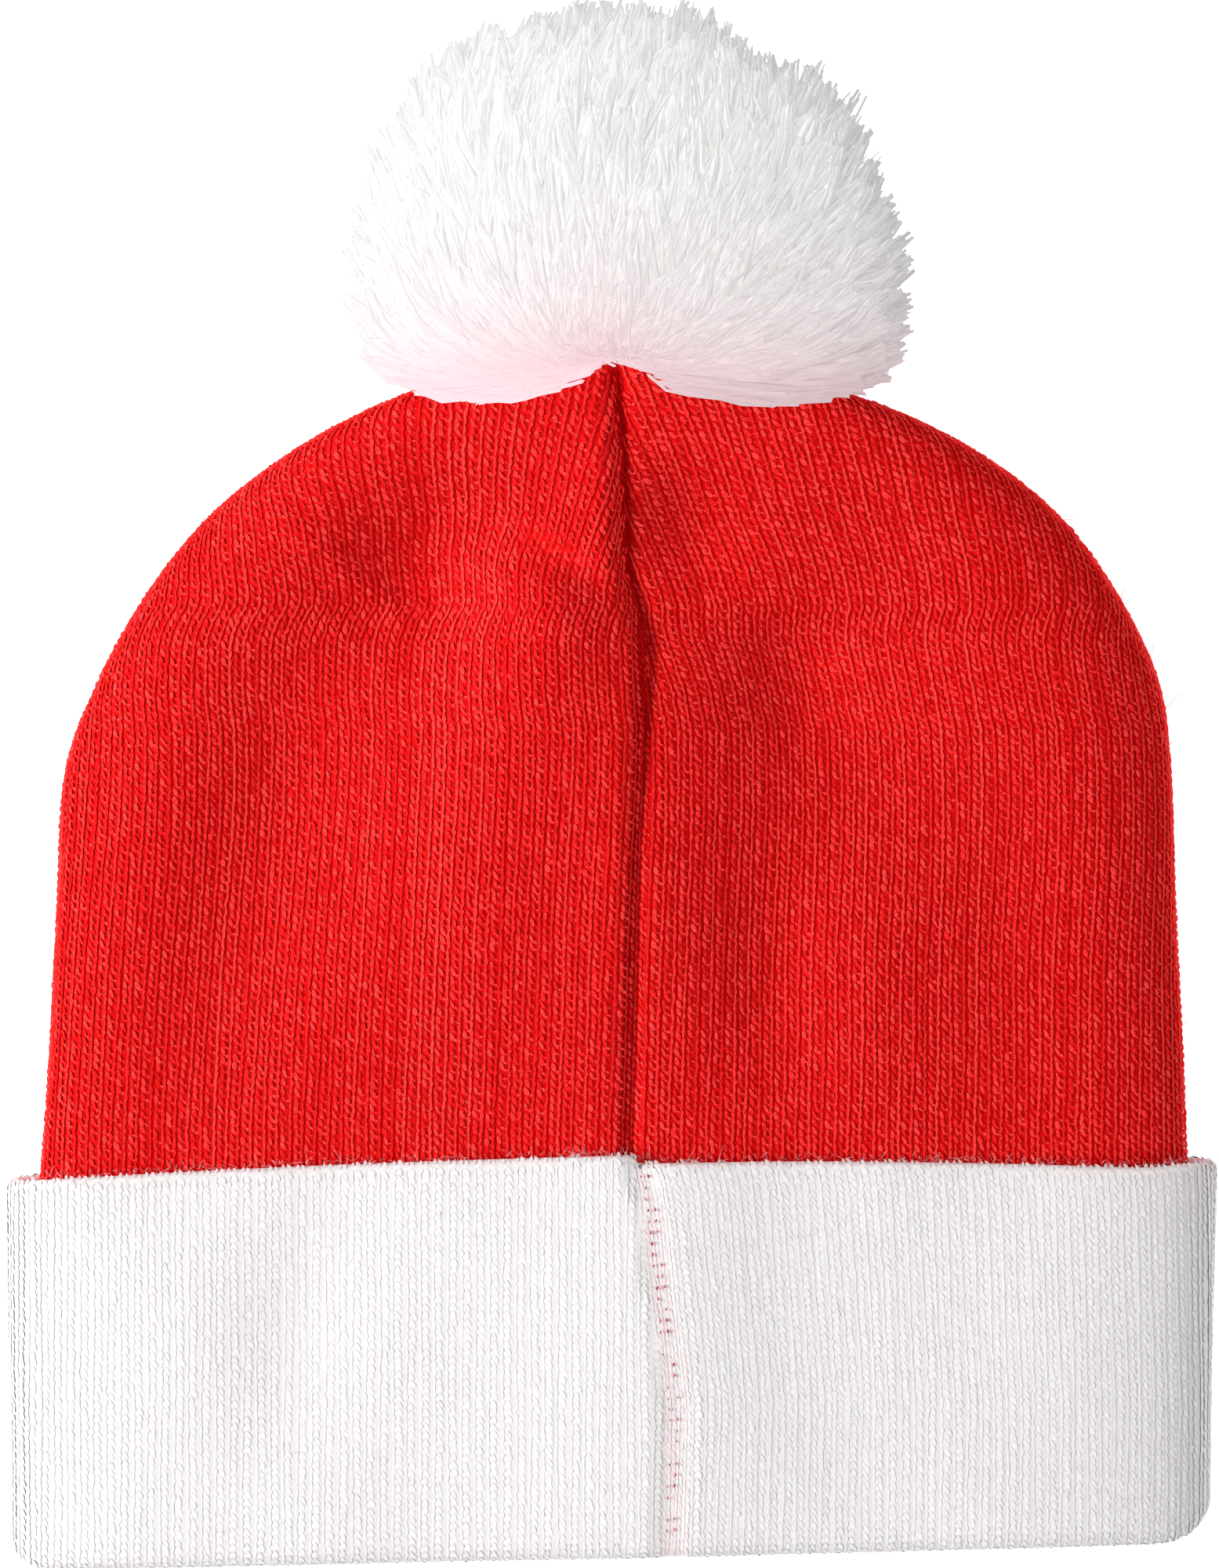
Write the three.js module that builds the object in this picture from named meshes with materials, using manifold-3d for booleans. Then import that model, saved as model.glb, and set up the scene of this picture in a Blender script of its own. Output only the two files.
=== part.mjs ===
// A knitted winter hat with a turned-up cuff and a yarn pompom, lying on its front with the back seam up.
// Millimetres, +Z up. +Y runs from the open mouth to the pompom and +X to the right of someone who looks down
// on the seam. The origin is on the surface under the hat, below the middle of its box.
import * as THREE from "three";
import { mergeVertices } from "three/addons/utils/BufferGeometryUtils.js";
import Module from "manifold-3d";

const wasm = await Module();
wasm.setup();

// Driving dimensions
const CROWN_WALL = 2.6; // knitted fabric of the crown
const CUFF_WALL = 3.2; // the cuff's outer leg, a little thicker than the crown
const SEAT_GAP = 0.35; // between pieces that touch on the real hat

// The knitted tube from the mouth to the closed tip, one row for each section. y is the place along the hat,
// left and right are the half widths either side of X = 0, and top and base the heights of the upper and lower
// face in the middle. A base below zero is pressed flat on the surface. The rows below RIM_ROW are the cuff's
// inner leg.
const TUBE = [
  { y: -136, left: 103.6, right: 103.2, top: 24.8, base: 3.7 },
  { y: -110, left: 103.8, right: 103.5, top: 24.9, base: 3.7 },
  { y: -86, left: 103.8, right: 103.9, top: 25.2, base: 3.7 },
  { y: -66, left: 102.0, right: 103.4, top: 25.5, base: 3.4 },
  { y: -46, left: 100.7, right: 102.7, top: 26.2, base: 0.4 },
  { y: -22, left: 99.5, right: 101.5, top: 27.2, base: -0.8 },
  { y: 2, left: 98.0, right: 100.6, top: 28.4, base: -0.8 },
  { y: 18, left: 92.2, right: 98.4, top: 30.0, base: -0.8 },
  { y: 33, left: 83.9, right: 91.4, top: 32.0, base: -0.8 },
  { y: 47, left: 72.6, right: 81.0, top: 34.4, base: 0.6 },
  { y: 58, left: 58.6, right: 67.0, top: 36.8, base: 4.0 },
  { y: 66, left: 43.8, right: 50.8, top: 38.6, base: 9.0 },
  { y: 71.5, left: 29.0, right: 32.6, top: 38.4, base: 14.4 },
  { y: 75.4, left: 14.4, right: 15.6, top: 36.2, base: 20.6 },
  { y: 77.4, left: 4.0, right: 4.2, top: 31.8, base: 26.4 },
];
const RIM_ROW = 2; // the crown starts here, butted on the cuff's inner leg
const TIP = { x: 0.4, y: 77.8, z: 29.0 };
const OUTER_STEPS = 2; // rings to each row on the outside
const INNER_STEPS = 1;

// The back seam and the dart it ends in: the valley's middle, depth and half width along the hat, and how
// far the right panel lies below the left one.
const SEAM = [
  { y: -140, x: 10.6, depth: 0.2, spread: 3, step: 0 },
  { y: -110, x: 11.4, depth: 0.2, spread: 3, step: 0 },
  { y: -72, x: 7.0, depth: 0.3, spread: 3, step: 0 },
  { y: -60, x: 3.2, depth: 1.2, spread: 2.6, step: 0.7 },
  { y: -10, x: 4.4, depth: 1.5, spread: 2.6, step: 1.3 },
  { y: 16, x: 6.0, depth: 2.2, spread: 2.6, step: 2.2 },
  { y: 25, x: 6.0, depth: 2.8, spread: 2.8, step: 3.0 },
  { y: 38, x: 2.4, depth: 2.8, spread: 2.8, step: 3.0 },
  { y: 60, x: 1.6, depth: 2.2, spread: 2.6, step: 2.0 },
  { y: 78, x: 0.4, depth: 1.0, spread: 3, step: 0.4 },
];
const SEAM_STEP = { from: -1, to: 2, reach: 34 }; // where the step falls, and how far out it fades

// Slack folds on the upper face: middle, half sizes, turn in the plane in degrees, and height added.
const FOLDS = [
  { name: "left hump", x: -88, y: -14, wide: 14, long: 60, turn: -16, rise: 2.6 },
  { name: "left hollow", x: -60, y: -8, wide: 16, long: 52, turn: -18, rise: -4.4 },
  { name: "ridge left of the seam", x: -22, y: -6, wide: 14, long: 42, turn: -8, rise: 3.0 },
  { name: "ridge under the seam", x: 4, y: -8, wide: 24, long: 48, turn: 2, rise: 5.4 },
  { name: "right hollow", x: 48, y: 16, wide: 24, long: 34, turn: 0, rise: -3.6 },
  { name: "hollow right of the seam", x: 28, y: -34, wide: 10, long: 18, turn: 0, rise: -2.2 },
  { name: "low right hump", x: 46, y: -40, wide: 10, long: 26, turn: 0, rise: 1.0 },
  { name: "low right hollow", x: 72, y: -28, wide: 13, long: 34, turn: 0, rise: -1.8 },
  { name: "right hump", x: 90, y: -10, wide: 12, long: 50, turn: 4, rise: 1.0 },
  { name: "dent left of the dart", x: -30, y: 39, wide: 15, long: 15, turn: -27, rise: -6.4 },
  { name: "swell left of the dent", x: -56, y: 45, wide: 13, long: 15, turn: -27, rise: 1.6 },
  { name: "swell right of the dent", x: -14, y: 30, wide: 9, long: 12, turn: -20, rise: 1.6 },
  { name: "pillow over the dart", x: 0, y: 49, wide: 8, long: 10, turn: 0, rise: 3.0 },
  { name: "roll above the dent", x: -18, y: 54, wide: 26, long: 8, turn: -12, rise: 1.2 },
  { name: "roll left of the dart", x: -9, y: 22, wide: 9, long: 12, turn: 20, rise: 1.4 },
  { name: "hollow right of the dart", x: 33, y: 19, wide: 12, long: 14, turn: 0, rise: -2.8 },
  { name: "dip right of the dart", x: 16, y: 42, wide: 8, long: 12, turn: 0, rise: -1.4 },
  { name: "slack in the cuff", x: -54, y: -92, wide: 12, long: 26, turn: -10, rise: -1.7 },
  { name: "ridge under the cuff's seam", x: 8, y: -102, wide: 24, long: 50, turn: 0, rise: 2.6 },
];

// The cuff's outer leg from the fold at the mouth to its free edge.
const CUFF = [
  { y: -137.5, left: 107.6, right: 107.7, top: 28.6, base: -0.6 },
  { y: -100, left: 108.2, right: 108.1, top: 29.2, base: -0.6 },
  { y: -65.3, left: 108.6, right: 108.9, top: 29.6, base: -0.4 },
];
const FOLD_LINE = { middle: -137.4, slant: 0.023, bow: 0.2 }; // y of the folded edge against x
const FREE_LINE = { middle: -65.3, slant: 0.01, bow: 2.9 }; // y of the free edge against x
const BOW_HALF_WIDTH = 100; // where each line has dropped by its bow
const FOLD_CORNERS = { left: 6, right: 9, halfWidth: 107.9 }; // radii of the fold's rounded corners

// The cuff's folded band in section, once round. up runs from the fold to the end of a leg, leg from the outer
// leg at 0 to the inner leg at 1, and depth through the wall, from the band's outside at 0 to the side inside the
// fold at 1.
const CUFF_PROFILE = [
  { up: 0.08, leg: 0, depth: 0 },
  { up: 0.25, leg: 0, depth: 0 },
  { up: 0.45, leg: 0, depth: 0 },
  { up: 0.65, leg: 0, depth: 0 },
  { up: 0.85, leg: 0, depth: 0 },
  { up: 0.95, leg: 0, depth: 0 },
  { up: 0.988, leg: 0, depth: 0.2 },
  { up: 1, leg: 0, depth: 0.5 },
  { up: 0.988, leg: 0, depth: 0.8 },
  { up: 0.95, leg: 0, depth: 1 },
  { up: 0.6, leg: 0, depth: 1 },
  { up: 0.1, leg: 0, depth: 1 },
  { up: 0.07, leg: 0.5, depth: 1 },
  { up: 0.12, leg: 1, depth: 1 },
  { up: 0.6, leg: 1, depth: 1 },
  { up: 1, leg: 1, depth: 1 },
  { up: 1, leg: 1, depth: 0 },
  { up: 0.6, leg: 1, depth: 0 },
  { up: 0.12, leg: 1, depth: 0 },
  { up: 0.03, leg: 0.85, depth: 0 },
  { up: 0, leg: 0.55, depth: 0 },
  { up: 0.012, leg: 0.25, depth: 0 },
  { up: 0.04, leg: 0.06, depth: 0 },
];

// How square the sections are: 2 is an ellipse, and more is flatter in the middle with tighter sides.
const UPPER_SQUARENESS = 3.2;
const CUFF_SQUARENESS = 4.6; // of the cuff's outer leg, on its upper face
const LOWER_SQUARENESS = 5;
const SIDE_FOLD_SHARE = 0.42; // height of the side folds between base and top
const RELIEF_FADE = 4; // power by which folds fade out towards the side folds
const LEAST_HALF_WIDTH = 0.5;
const SEAM_DRIFT_SHARE = 0.3; // of the half width, the most that the seam strays from the middle
const TIP_ROUNDING = 8; // power by which the inside falls short of the tip
const COLUMNS = { upperHalf: 18, lower: 20 }; // points on each half of the upper face, and on the lower face
const SEAM_GRADING = 1.35; // crowds the upper columns towards the seam
const DENSE = 240; // samples of a curve before its points are spaced out

// Pompom: strands fan out from a root just past the tip. Reach is the envelope's half size each way from it.
const POMPOM = {
  root: new THREE.Vector3(2.6, 86.5, 32),
  reach: { side: 49, far: 51, near: 18, up: 43, down: 35 },
  squareness: 2.25,
  core: 0.84, // of the reach
  coreFacets: { round: 14, along: 9 },
  locks: 58,
  lockSpan: 1.5, // of the sphere's height, from the far end back past the sides
  lockSides: 6,
  lockStart: 0.6, // of the reach
  lockEnd: { short: 0.94, long: 1.0 },
  lockShoulder: 0.72, // of the lock's length
  lockRadius: { root: 8.2, shoulder: 9.4, end: 5.4 },
  lockCrown: 0.35, // height of the rounded end, of its radius
};
const GROUND_BLOCK = 400; // side of the block that flattens the pompom's underside

// Smooth lookup in a table by row number, each column on its own Catmull-Rom curve.
function sectionAt(rows, position) {
  const i = Math.min(Math.max(Math.floor(position), 0), rows.length - 2);
  const t = position - i;
  const [a, b, c, d] = [i - 1, i, i + 1, i + 2].map((k) => rows[Math.min(Math.max(k, 0), rows.length - 1)]);
  const blend = (key) => {
    const [p, q, r, s] = [a[key], b[key], c[key], d[key]];
    const bend = (2 * p - 5 * q + 4 * r - s) * t ** 2 + (3 * q - p - 3 * r + s) * t ** 3;
    return 0.5 * (2 * q + (r - p) * t + bend);
  };
  return Object.fromEntries(Object.keys(b).map((key) => [key, blend(key)]));
}

// Straight lookup in a table whose rows rise in y.
function rowAtY(rows, y) {
  const last = rows.length - 2;
  const i = Math.min(Math.max(rows.findIndex((row) => row.y > y) - 1, 0), last);
  const found = y >= rows[last + 1].y ? last : i;
  const [low, high] = [rows[found], rows[found + 1]];
  const t = THREE.MathUtils.clamp((y - low.y) / (high.y - low.y), 0, 1);
  return Object.fromEntries(Object.keys(low).map((key) => [key, low[key] + (high[key] - low[key]) * t]));
}

// Height that the seam's valley and step and the slack folds add to the upper face at (x, y).
function relief(x, y) {
  const seam = rowAtY(SEAM, y);
  const off = x - seam.x;
  let height = -seam.depth * Math.exp(-((off / seam.spread) ** 2));
  const fall = THREE.MathUtils.smoothstep(off, SEAM_STEP.from, SEAM_STEP.to);
  height -= seam.step * fall * Math.exp(-((off / SEAM_STEP.reach) ** 2));
  for (const fold of FOLDS) {
    const turn = THREE.MathUtils.degToRad(fold.turn);
    const across = (x - fold.x) * Math.cos(turn) + (y - fold.y) * Math.sin(turn);
    const along = (y - fold.y) * Math.cos(turn) - (x - fold.x) * Math.sin(turn);
    height += fold.rise * Math.exp(-((across / fold.wide) ** 2) - (along / fold.long) ** 2);
  }
  return height;
}

// Points spaced out along a curve: fractions of its length from its first sample to its last.
function spaced(curve, fractions) {
  const lengths = [0];
  for (let i = 1; i < curve.length; i++) lengths.push(lengths[i - 1] + curve[i].distanceTo(curve[i - 1]));
  const total = lengths[lengths.length - 1];
  return fractions.map((fraction) => {
    const wanted = fraction * total;
    const i = Math.max(1, lengths.findIndex((length) => length >= wanted - 1e-9));
    const t = (wanted - lengths[i - 1]) / Math.max(lengths[i] - lengths[i - 1], 1e-9);
    return curve[i - 1].clone().lerp(curve[i], t);
  });
}

// One ring of a flattened tube: the section drawn in by inset, from the seam round by the left side. Its y comes
// from yAt(x), so a ring can follow a slanted or bowed edge.
function ring(section, inset, yAt, squareness = UPPER_SQUARENESS) {
  const left = Math.max(section.left - inset, LEAST_HALF_WIDTH);
  const right = Math.max(section.right - inset, LEAST_HALF_WIDTH);
  const top = section.top - inset;
  const base = section.base + inset;
  const middle = base + (top - base) * SIDE_FOLD_SHARE;
  const drift = rowAtY(SEAM, section.y).x;
  const seamX = THREE.MathUtils.clamp(drift, -left * SEAM_DRIFT_SHARE, right * SEAM_DRIFT_SHARE);
  const face = (s, half, power) => (1 - Math.abs(s) ** power) ** (1 / power) * half;
  const point = (s, upper) => {
    const x = s < 0 ? s * left : s * right;
    const y = yAt(x);
    const below = middle - face(s, middle - base, LOWER_SQUARENESS);
    if (!upper) return new THREE.Vector3(x, y, Math.max(below, inset, 0));
    const above = middle + face(s, top - middle, squareness);
    return new THREE.Vector3(x, y, above + (1 - s ** RELIEF_FADE) * relief(x, y));
  };
  const sweep = (from, to, upper) =>
    Array.from({ length: DENSE + 1 }, (_, i) => {
      const angle = from + ((to - from) * i) / DENSE;
      return point(Math.sin(angle), upper);
    });
  const seamAngle = Math.asin(seamX < 0 ? seamX / left : seamX / right);
  const quarter = Math.PI / 2;
  const { upperHalf, lower } = COLUMNS;
  const crowded = (i) => (i / upperHalf) ** SEAM_GRADING;
  const fractions = (count, rule) => Array.from({ length: count }, (_, i) => rule(i));
  const toLeft = spaced(sweep(seamAngle, -quarter, true), fractions(upperHalf, crowded));
  const below = spaced(sweep(-quarter, quarter, false), fractions(lower, (i) => i / lower));
  const backwards = (i) => 1 - crowded(upperHalf - i);
  const toSeam = spaced(sweep(quarter, seamAngle, true), fractions(upperHalf, backwards));
  return [...toLeft, ...below, ...toSeam];
}

// A closed skin over rings of equal length. Ends are poles, and without them the last ring joins the first.
function skin(rings, poles) {
  const count = rings[0].length;
  const points = rings.flat();
  const faces = [];
  const join = (a, b) => {
    for (let i = 0; i < count; i++) {
      const next = (i + 1) % count;
      faces.push(a + i, b + i, a + next, a + next, b + i, b + next);
    }
  };
  for (let k = 0; k + 1 < rings.length; k++) join(k * count, (k + 1) * count);
  if (poles) {
    const [first, last] = poles.map((pole) => points.push(pole) - 1);
    const end = (rings.length - 1) * count;
    for (let i = 0; i < count; i++) {
      const next = (i + 1) % count;
      faces.push(first, i, next, last, end + next, end + i);
    }
  } else join((rings.length - 1) * count, 0);
  const geometry = new THREE.BufferGeometry().setFromPoints(points);
  geometry.setIndex(faces);
  return geometry;
}

// A geometry as a solid for joining and cutting, and back.
function solid(geometry) {
  const bare = geometry.clone();
  bare.deleteAttribute("normal");
  bare.deleteAttribute("uv");
  const merged = mergeVertices(bare, 1e-3);
  const mesh = { numProp: 3, vertProperties: merged.attributes.position.array, triVerts: merged.index.array };
  return new wasm.Manifold(new wasm.Mesh({ ...mesh, triVerts: new Uint32Array(mesh.triVerts) }));
}

function geometryOf(manifold) {
  const mesh = manifold.getMesh();
  const geometry = new THREE.BufferGeometry();
  geometry.setAttribute("position", new THREE.BufferAttribute(new Float32Array(mesh.vertProperties), 3));
  geometry.setIndex(new THREE.BufferAttribute(new Uint32Array(mesh.triVerts), 1));
  geometry.computeVertexNormals();
  return geometry;
}

// Rings of the crown's tube from the rim up to the tip.
function tubeRings(inset, stepsPerRow) {
  const steps = (TUBE.length - 1 - RIM_ROW) * stepsPerRow;
  return Array.from({ length: steps + 1 }, (_, k) => {
    const section = sectionAt(TUBE, RIM_ROW + k / stepsPerRow);
    return ring(section, inset, () => section.y - inset * (k / steps) ** TIP_ROUNDING);
  });
}

function tipPole(inset) {
  return new THREE.Vector3(TIP.x, TIP.y - inset, TIP.z);
}

// The crown: a hollow knitted shell, closed and gathered at the tip and open at the rim inside the cuff.
function crownGeometry() {
  const outside = tubeRings(0, OUTER_STEPS);
  const inside = tubeRings(CROWN_WALL, INNER_STEPS).reverse();
  return skin([...inside, ...outside], [tipPole(CROWN_WALL), tipPole(0)]);
}

// The crown's outside, swollen by the seat gap, to hollow out what sits on it.
function crownSeat() {
  const rim = TUBE[RIM_ROW];
  const middle = new THREE.Vector3(0, rim.y, (rim.top + rim.base) / 2);
  return skin(tubeRings(-SEAT_GAP, OUTER_STEPS), [middle, tipPole(-SEAT_GAP)]);
}

// How far the folded edge rises at its rounded corners.
function cornerRise(x) {
  const radius = x < 0 ? FOLD_CORNERS.left : FOLD_CORNERS.right;
  const t = THREE.MathUtils.clamp((Math.abs(x) - FOLD_CORNERS.halfWidth) / radius + 1, 0, 1);
  return radius * (1 - Math.sqrt(1 - t * t));
}

// The cuff: one band folded at the mouth. Its inner leg carries on the crown's tube, and its outer leg turns up
// over it.
function cuffGeometry() {
  const edge = (line) => (x) => line.middle + line.slant * x - line.bow * (x / BOW_HALF_WIDTH) ** 2;
  const foldY = (x) => edge(FOLD_LINE)(x) + cornerRise(x);
  const freeY = edge(FREE_LINE);
  const joinY = TUBE[RIM_ROW].y - SEAT_GAP;
  const outer = (up, inset) => {
    const section = sectionAt(CUFF, up * (CUFF.length - 1));
    return ring(section, inset, (x) => foldY(x) + (freeY(x) - foldY(x)) * up, CUFF_SQUARENESS);
  };
  const inner = (up, inset) => {
    const section = sectionAt(TUBE, up * RIM_ROW);
    return ring(section, inset, (x) => foldY(x) + (joinY - foldY(x)) * up);
  };
  const rings = CUFF_PROFILE.map(({ up, leg, depth }) => {
    const innerRing = inner(up, (1 - depth) * CROWN_WALL);
    return outer(up, depth * CUFF_WALL).map((point, i) => point.lerp(innerRing[i], leg));
  });
  return skin(rings, null);
}

// A repeatable spread of numbers from 0 to 1.
function scatter(i) {
  const value = Math.sin(i * 127.1 + 11.7) * 43758.5453;
  return value - Math.floor(value);
}

// How far the pompom reaches from its root in a direction.
function pompomReach(direction) {
  const { side, far, near, up, down } = POMPOM.reach;
  const along = direction.y > 0 ? far : near;
  const high = direction.z > 0 ? up : down;
  const spread = [direction.x / side, direction.y / along, direction.z / high];
  const power = POMPOM.squareness;
  return spread.reduce((sum, part) => sum + Math.abs(part) ** power, 0) ** (-1 / power);
}

// One lock: a tapered tuft along a direction, from inside the core to the outer form.
function lockGeometry(direction, end) {
  const reach = pompomReach(direction);
  const [start, finish] = [reach * POMPOM.lockStart, reach * end];
  const { root, shoulder, end: tip } = POMPOM.lockRadius;
  const profile = [
    new THREE.Vector2(0, start),
    new THREE.Vector2(root, start),
    new THREE.Vector2(shoulder, start + (finish - start) * POMPOM.lockShoulder),
    new THREE.Vector2(tip, finish),
    new THREE.Vector2(0, finish + tip * POMPOM.lockCrown),
  ];
  const lock = new THREE.LatheGeometry(profile, POMPOM.lockSides);
  const turn = new THREE.Quaternion().setFromUnitVectors(new THREE.Vector3(0, 1, 0), direction);
  lock.applyQuaternion(turn);
  return lock.translate(...POMPOM.root.toArray());
}

// The pompom: locks fused to a rounded core, flattened where it lies and seated on the crown's tip.
function pompomGeometry() {
  const core = new THREE.SphereGeometry(1, POMPOM.coreFacets.round, POMPOM.coreFacets.along);
  const place = core.attributes.position;
  const spot = new THREE.Vector3();
  for (let i = 0; i < place.count; i++) {
    spot.fromBufferAttribute(place, i).normalize();
    spot.multiplyScalar(pompomReach(spot) * POMPOM.core).add(POMPOM.root);
    place.setXYZ(i, spot.x, spot.y, spot.z);
  }
  let body = solid(core);
  const goldenTurn = Math.PI * (3 - Math.sqrt(5));
  for (let i = 0; i < POMPOM.locks; i++) {
    const height = 1 - (POMPOM.lockSpan * (i + 0.5)) / POMPOM.locks;
    const across = Math.sqrt(1 - height * height);
    const angle = i * goldenTurn;
    const direction = new THREE.Vector3(across * Math.cos(angle), height, across * Math.sin(angle));
    const end = THREE.MathUtils.lerp(POMPOM.lockEnd.short, POMPOM.lockEnd.long, scatter(i));
    body = body.add(solid(lockGeometry(direction, end)));
  }
  const ground = new THREE.BoxGeometry(GROUND_BLOCK, GROUND_BLOCK, GROUND_BLOCK);
  ground.translate(0, POMPOM.root.y, -GROUND_BLOCK / 2);
  return geometryOf(body.subtract(solid(ground)).subtract(solid(crownSeat())));
}

function piece(name, geometry, material) {
  const mesh = new THREE.Mesh(geometry, new THREE.MeshStandardMaterial({ metalness: 0, ...material }));
  mesh.name = name;
  return mesh;
}

const hat = new THREE.Group();
hat.name = "knitted_hat";
hat.add(
  piece("crown", crownGeometry(), { color: 0xd8211f, roughness: 0.95 }),
  piece("cuff", cuffGeometry(), { color: 0xf0edec, roughness: 0.95 }),
  piece("pompom", pompomGeometry(), { color: 0xf4f1ee, roughness: 0.98 }),
);

export default hat;
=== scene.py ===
import math

import bpy
import numpy as np
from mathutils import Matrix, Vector


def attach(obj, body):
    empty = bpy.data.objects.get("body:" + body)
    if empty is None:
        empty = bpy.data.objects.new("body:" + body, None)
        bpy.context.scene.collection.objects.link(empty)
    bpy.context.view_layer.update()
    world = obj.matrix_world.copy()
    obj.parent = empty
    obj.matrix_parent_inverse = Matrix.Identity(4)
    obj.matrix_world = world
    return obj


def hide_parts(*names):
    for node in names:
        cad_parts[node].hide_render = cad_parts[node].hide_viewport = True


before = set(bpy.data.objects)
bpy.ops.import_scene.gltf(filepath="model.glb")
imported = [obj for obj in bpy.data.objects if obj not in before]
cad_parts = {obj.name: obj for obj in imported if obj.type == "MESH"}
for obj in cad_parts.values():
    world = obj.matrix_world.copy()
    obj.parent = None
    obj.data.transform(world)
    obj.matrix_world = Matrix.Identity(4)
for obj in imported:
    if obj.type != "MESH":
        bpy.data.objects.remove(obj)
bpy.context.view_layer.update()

# Sizes are in millimetres here and become metres when a mesh is made
MM = 0.001
SEED = 20
# Random phases run from 0 to this, in radians
PHASE = 6.28

# The hat's form, as in the part's source: y, left, right, top and base of each section of the knitted tube
TUBE = np.array([
    (-136, 103.6, 103.2, 24.8, 3.7),
    (-110, 103.8, 103.5, 24.9, 3.7),
    (-86, 103.8, 103.9, 25.2, 3.7),
    (-66, 102.0, 103.4, 25.5, 3.4),
    (-46, 100.7, 102.7, 26.2, 0.4),
    (-22, 99.5, 101.5, 27.2, -0.8),
    (2, 98.0, 100.6, 28.4, -0.8),
    (18, 92.2, 98.4, 30.0, -0.8),
    (33, 83.9, 91.4, 32.0, -0.8),
    (47, 72.6, 81.0, 34.4, 0.6),
    (58, 58.6, 67.0, 36.8, 4.0),
    (66, 43.8, 50.8, 38.6, 9.0),
    (71.5, 29.0, 32.6, 38.4, 14.4),
    (75.4, 14.4, 15.6, 36.2, 20.6),
    (77.4, 4.0, 4.2, 31.8, 26.4),
])
RIM_ROW = 2
TIP = (0.4, 77.8, 29.0)
CROWN_WALL, CUFF_WALL = 2.6, 3.2
JOIN_Y = -86.35
UPPER_SQUARENESS, CUFF_SQUARENESS, LOWER_SQUARENESS = 3.2, 4.6, 5
SIDE_FOLD_SHARE = 0.42
RELIEF_FADE = 4

# The back seam: y, x, depth and half width of its valley, and how far the right panel lies below the left one
SEAM = np.array([
    (-140, 10.6, 0.15, 2.4, 0.0),
    (-110, 11.4, 0.15, 2.4, 0.0),
    (-72, 7.0, 0.2, 2.4, 0.0),
    (-60, 3.2, 1.1, 1.7, 0.9),
    (-10, 4.4, 1.4, 1.7, 1.3),
    (16, 6.0, 1.6, 1.9, 2.2),
    (25, 6.0, 2.0, 2.2, 3.0),
    (38, 2.4, 2.0, 2.0, 3.0),
    (60, 1.6, 1.6, 1.8, 2.0),
    (78, 0.4, 1.0, 2.0, 0.4),
])
CROWN_SEAM_FOOT = -60.0
SEAM_GROOVE_DEPTH, SEAM_GROOVE_WIDTH = 0.5, 0.9
# The step down to the seam's right: its slope beside the seam, and how far out it fades
SEAM_STEP, SEAM_STEP_REACH = (-0.6, 1.0), 34
# The crease in the dart: depth, half width, and the stretches along the hat where it starts and ends
CREASE_DEPTH, CREASE_WIDTH = 0.8, 1.2
CREASE_START, CREASE_END = (14, 30), (66, 76)
# The sunken strip along the cuff's seam: depth, and its slopes to the left and right of the seam
STRIP_DEPTH = 0.3
STRIP_LEFT_SLOPE, STRIP_RIGHT_SLOPE = (-2.9, -2.3), (1.2, 4.2)

# Slack folds on the upper face: x, y, wide, long, turn in degrees, rise
FOLDS = [
    (-88, -14, 14, 60, -16, 2.6),
    (-60, -8, 16, 52, -18, -4.4),
    (-22, -6, 14, 42, -8, 3.0),
    (4, -8, 24, 48, 2, 5.4),
    (48, 16, 24, 34, 0, -3.6),
    (28, -34, 10, 18, 0, -2.2),
    (46, -40, 10, 26, 0, 1.0),
    (72, -28, 13, 34, 0, -1.8),
    (90, -10, 12, 50, 4, 1.0),
    (-30, 39, 15, 15, -27, -6.4),
    (-56, 45, 13, 15, -27, 1.6),
    (-14, 30, 9, 12, -20, 1.6),
    (-46, 38, 17, 2.3, -42, 0.8),
    (-12.4, 33.8, 12, 4.4, -36, 1.2),
    (-7.6, 40.6, 12, 4.0, -36, -1.5),
    (0, 49, 8, 10, 0, 3.0),
    (-18, 54, 26, 8, -12, 1.2),
    (-9, 22, 9, 12, 20, 1.4),
    (33, 19, 12, 14, 0, -2.8),
    (16, 42, 8, 12, 0, -1.4),
    (-54, -92, 12, 26, -10, -1.7),
    (8, -102, 24, 50, 0, 2.6),
]
UNEVEN_HEIGHT, UNEVEN_WAVE = 0.22, 26

# The cuff's outer leg, and the lines of its fold at the mouth and of its free edge: middle, slant and bow
CUFF = np.array([
    (-137.5, 107.6, 107.7, 28.6, -0.6),
    (-100, 108.2, 108.1, 29.2, -0.6),
    (-65.3, 108.6, 108.9, 29.6, -0.4),
])
CUFF_FOOT, CUFF_RISE, CUFF_HALF_WIDTH = -137, 70, 107
FOLD_LINE = (-137.4, 0.023, 0.2)
FREE_LINE = (-65.3, 0.01, 2.9)
BOW_HALF_WIDTH = 100
# Radii of the rounded corners at the fold's left and right ends
FOLD_CORNERS = (6.0, 9.0)
FOLD_HALF_WIDTH = 107.9
# Where the band's ends meet at the free edge, how far each lies above the line, and how far out that fades
LAP_X = 4.6
LAP_LEFT, LAP_LEFT_REACH = 0.9, 30
LAP_RIGHT, LAP_RIGHT_REACH = -0.7, 45
# The free edge's lift at its right corner
CORNER_LIFT, CORNER_X, CORNER_WIDE = 1.2, 105, 7

# The pompom's envelope round its root
POMPOM_ROOT = np.array((2.6, 86.5, 32.0))
POMPOM_SIDE, POMPOM_FAR, POMPOM_NEAR, POMPOM_UP, POMPOM_DOWN = 48, 50, 21, 42, 35
POMPOM_SQUARENESS, NEAR_SQUARENESS = 2.15, 3.6

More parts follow.
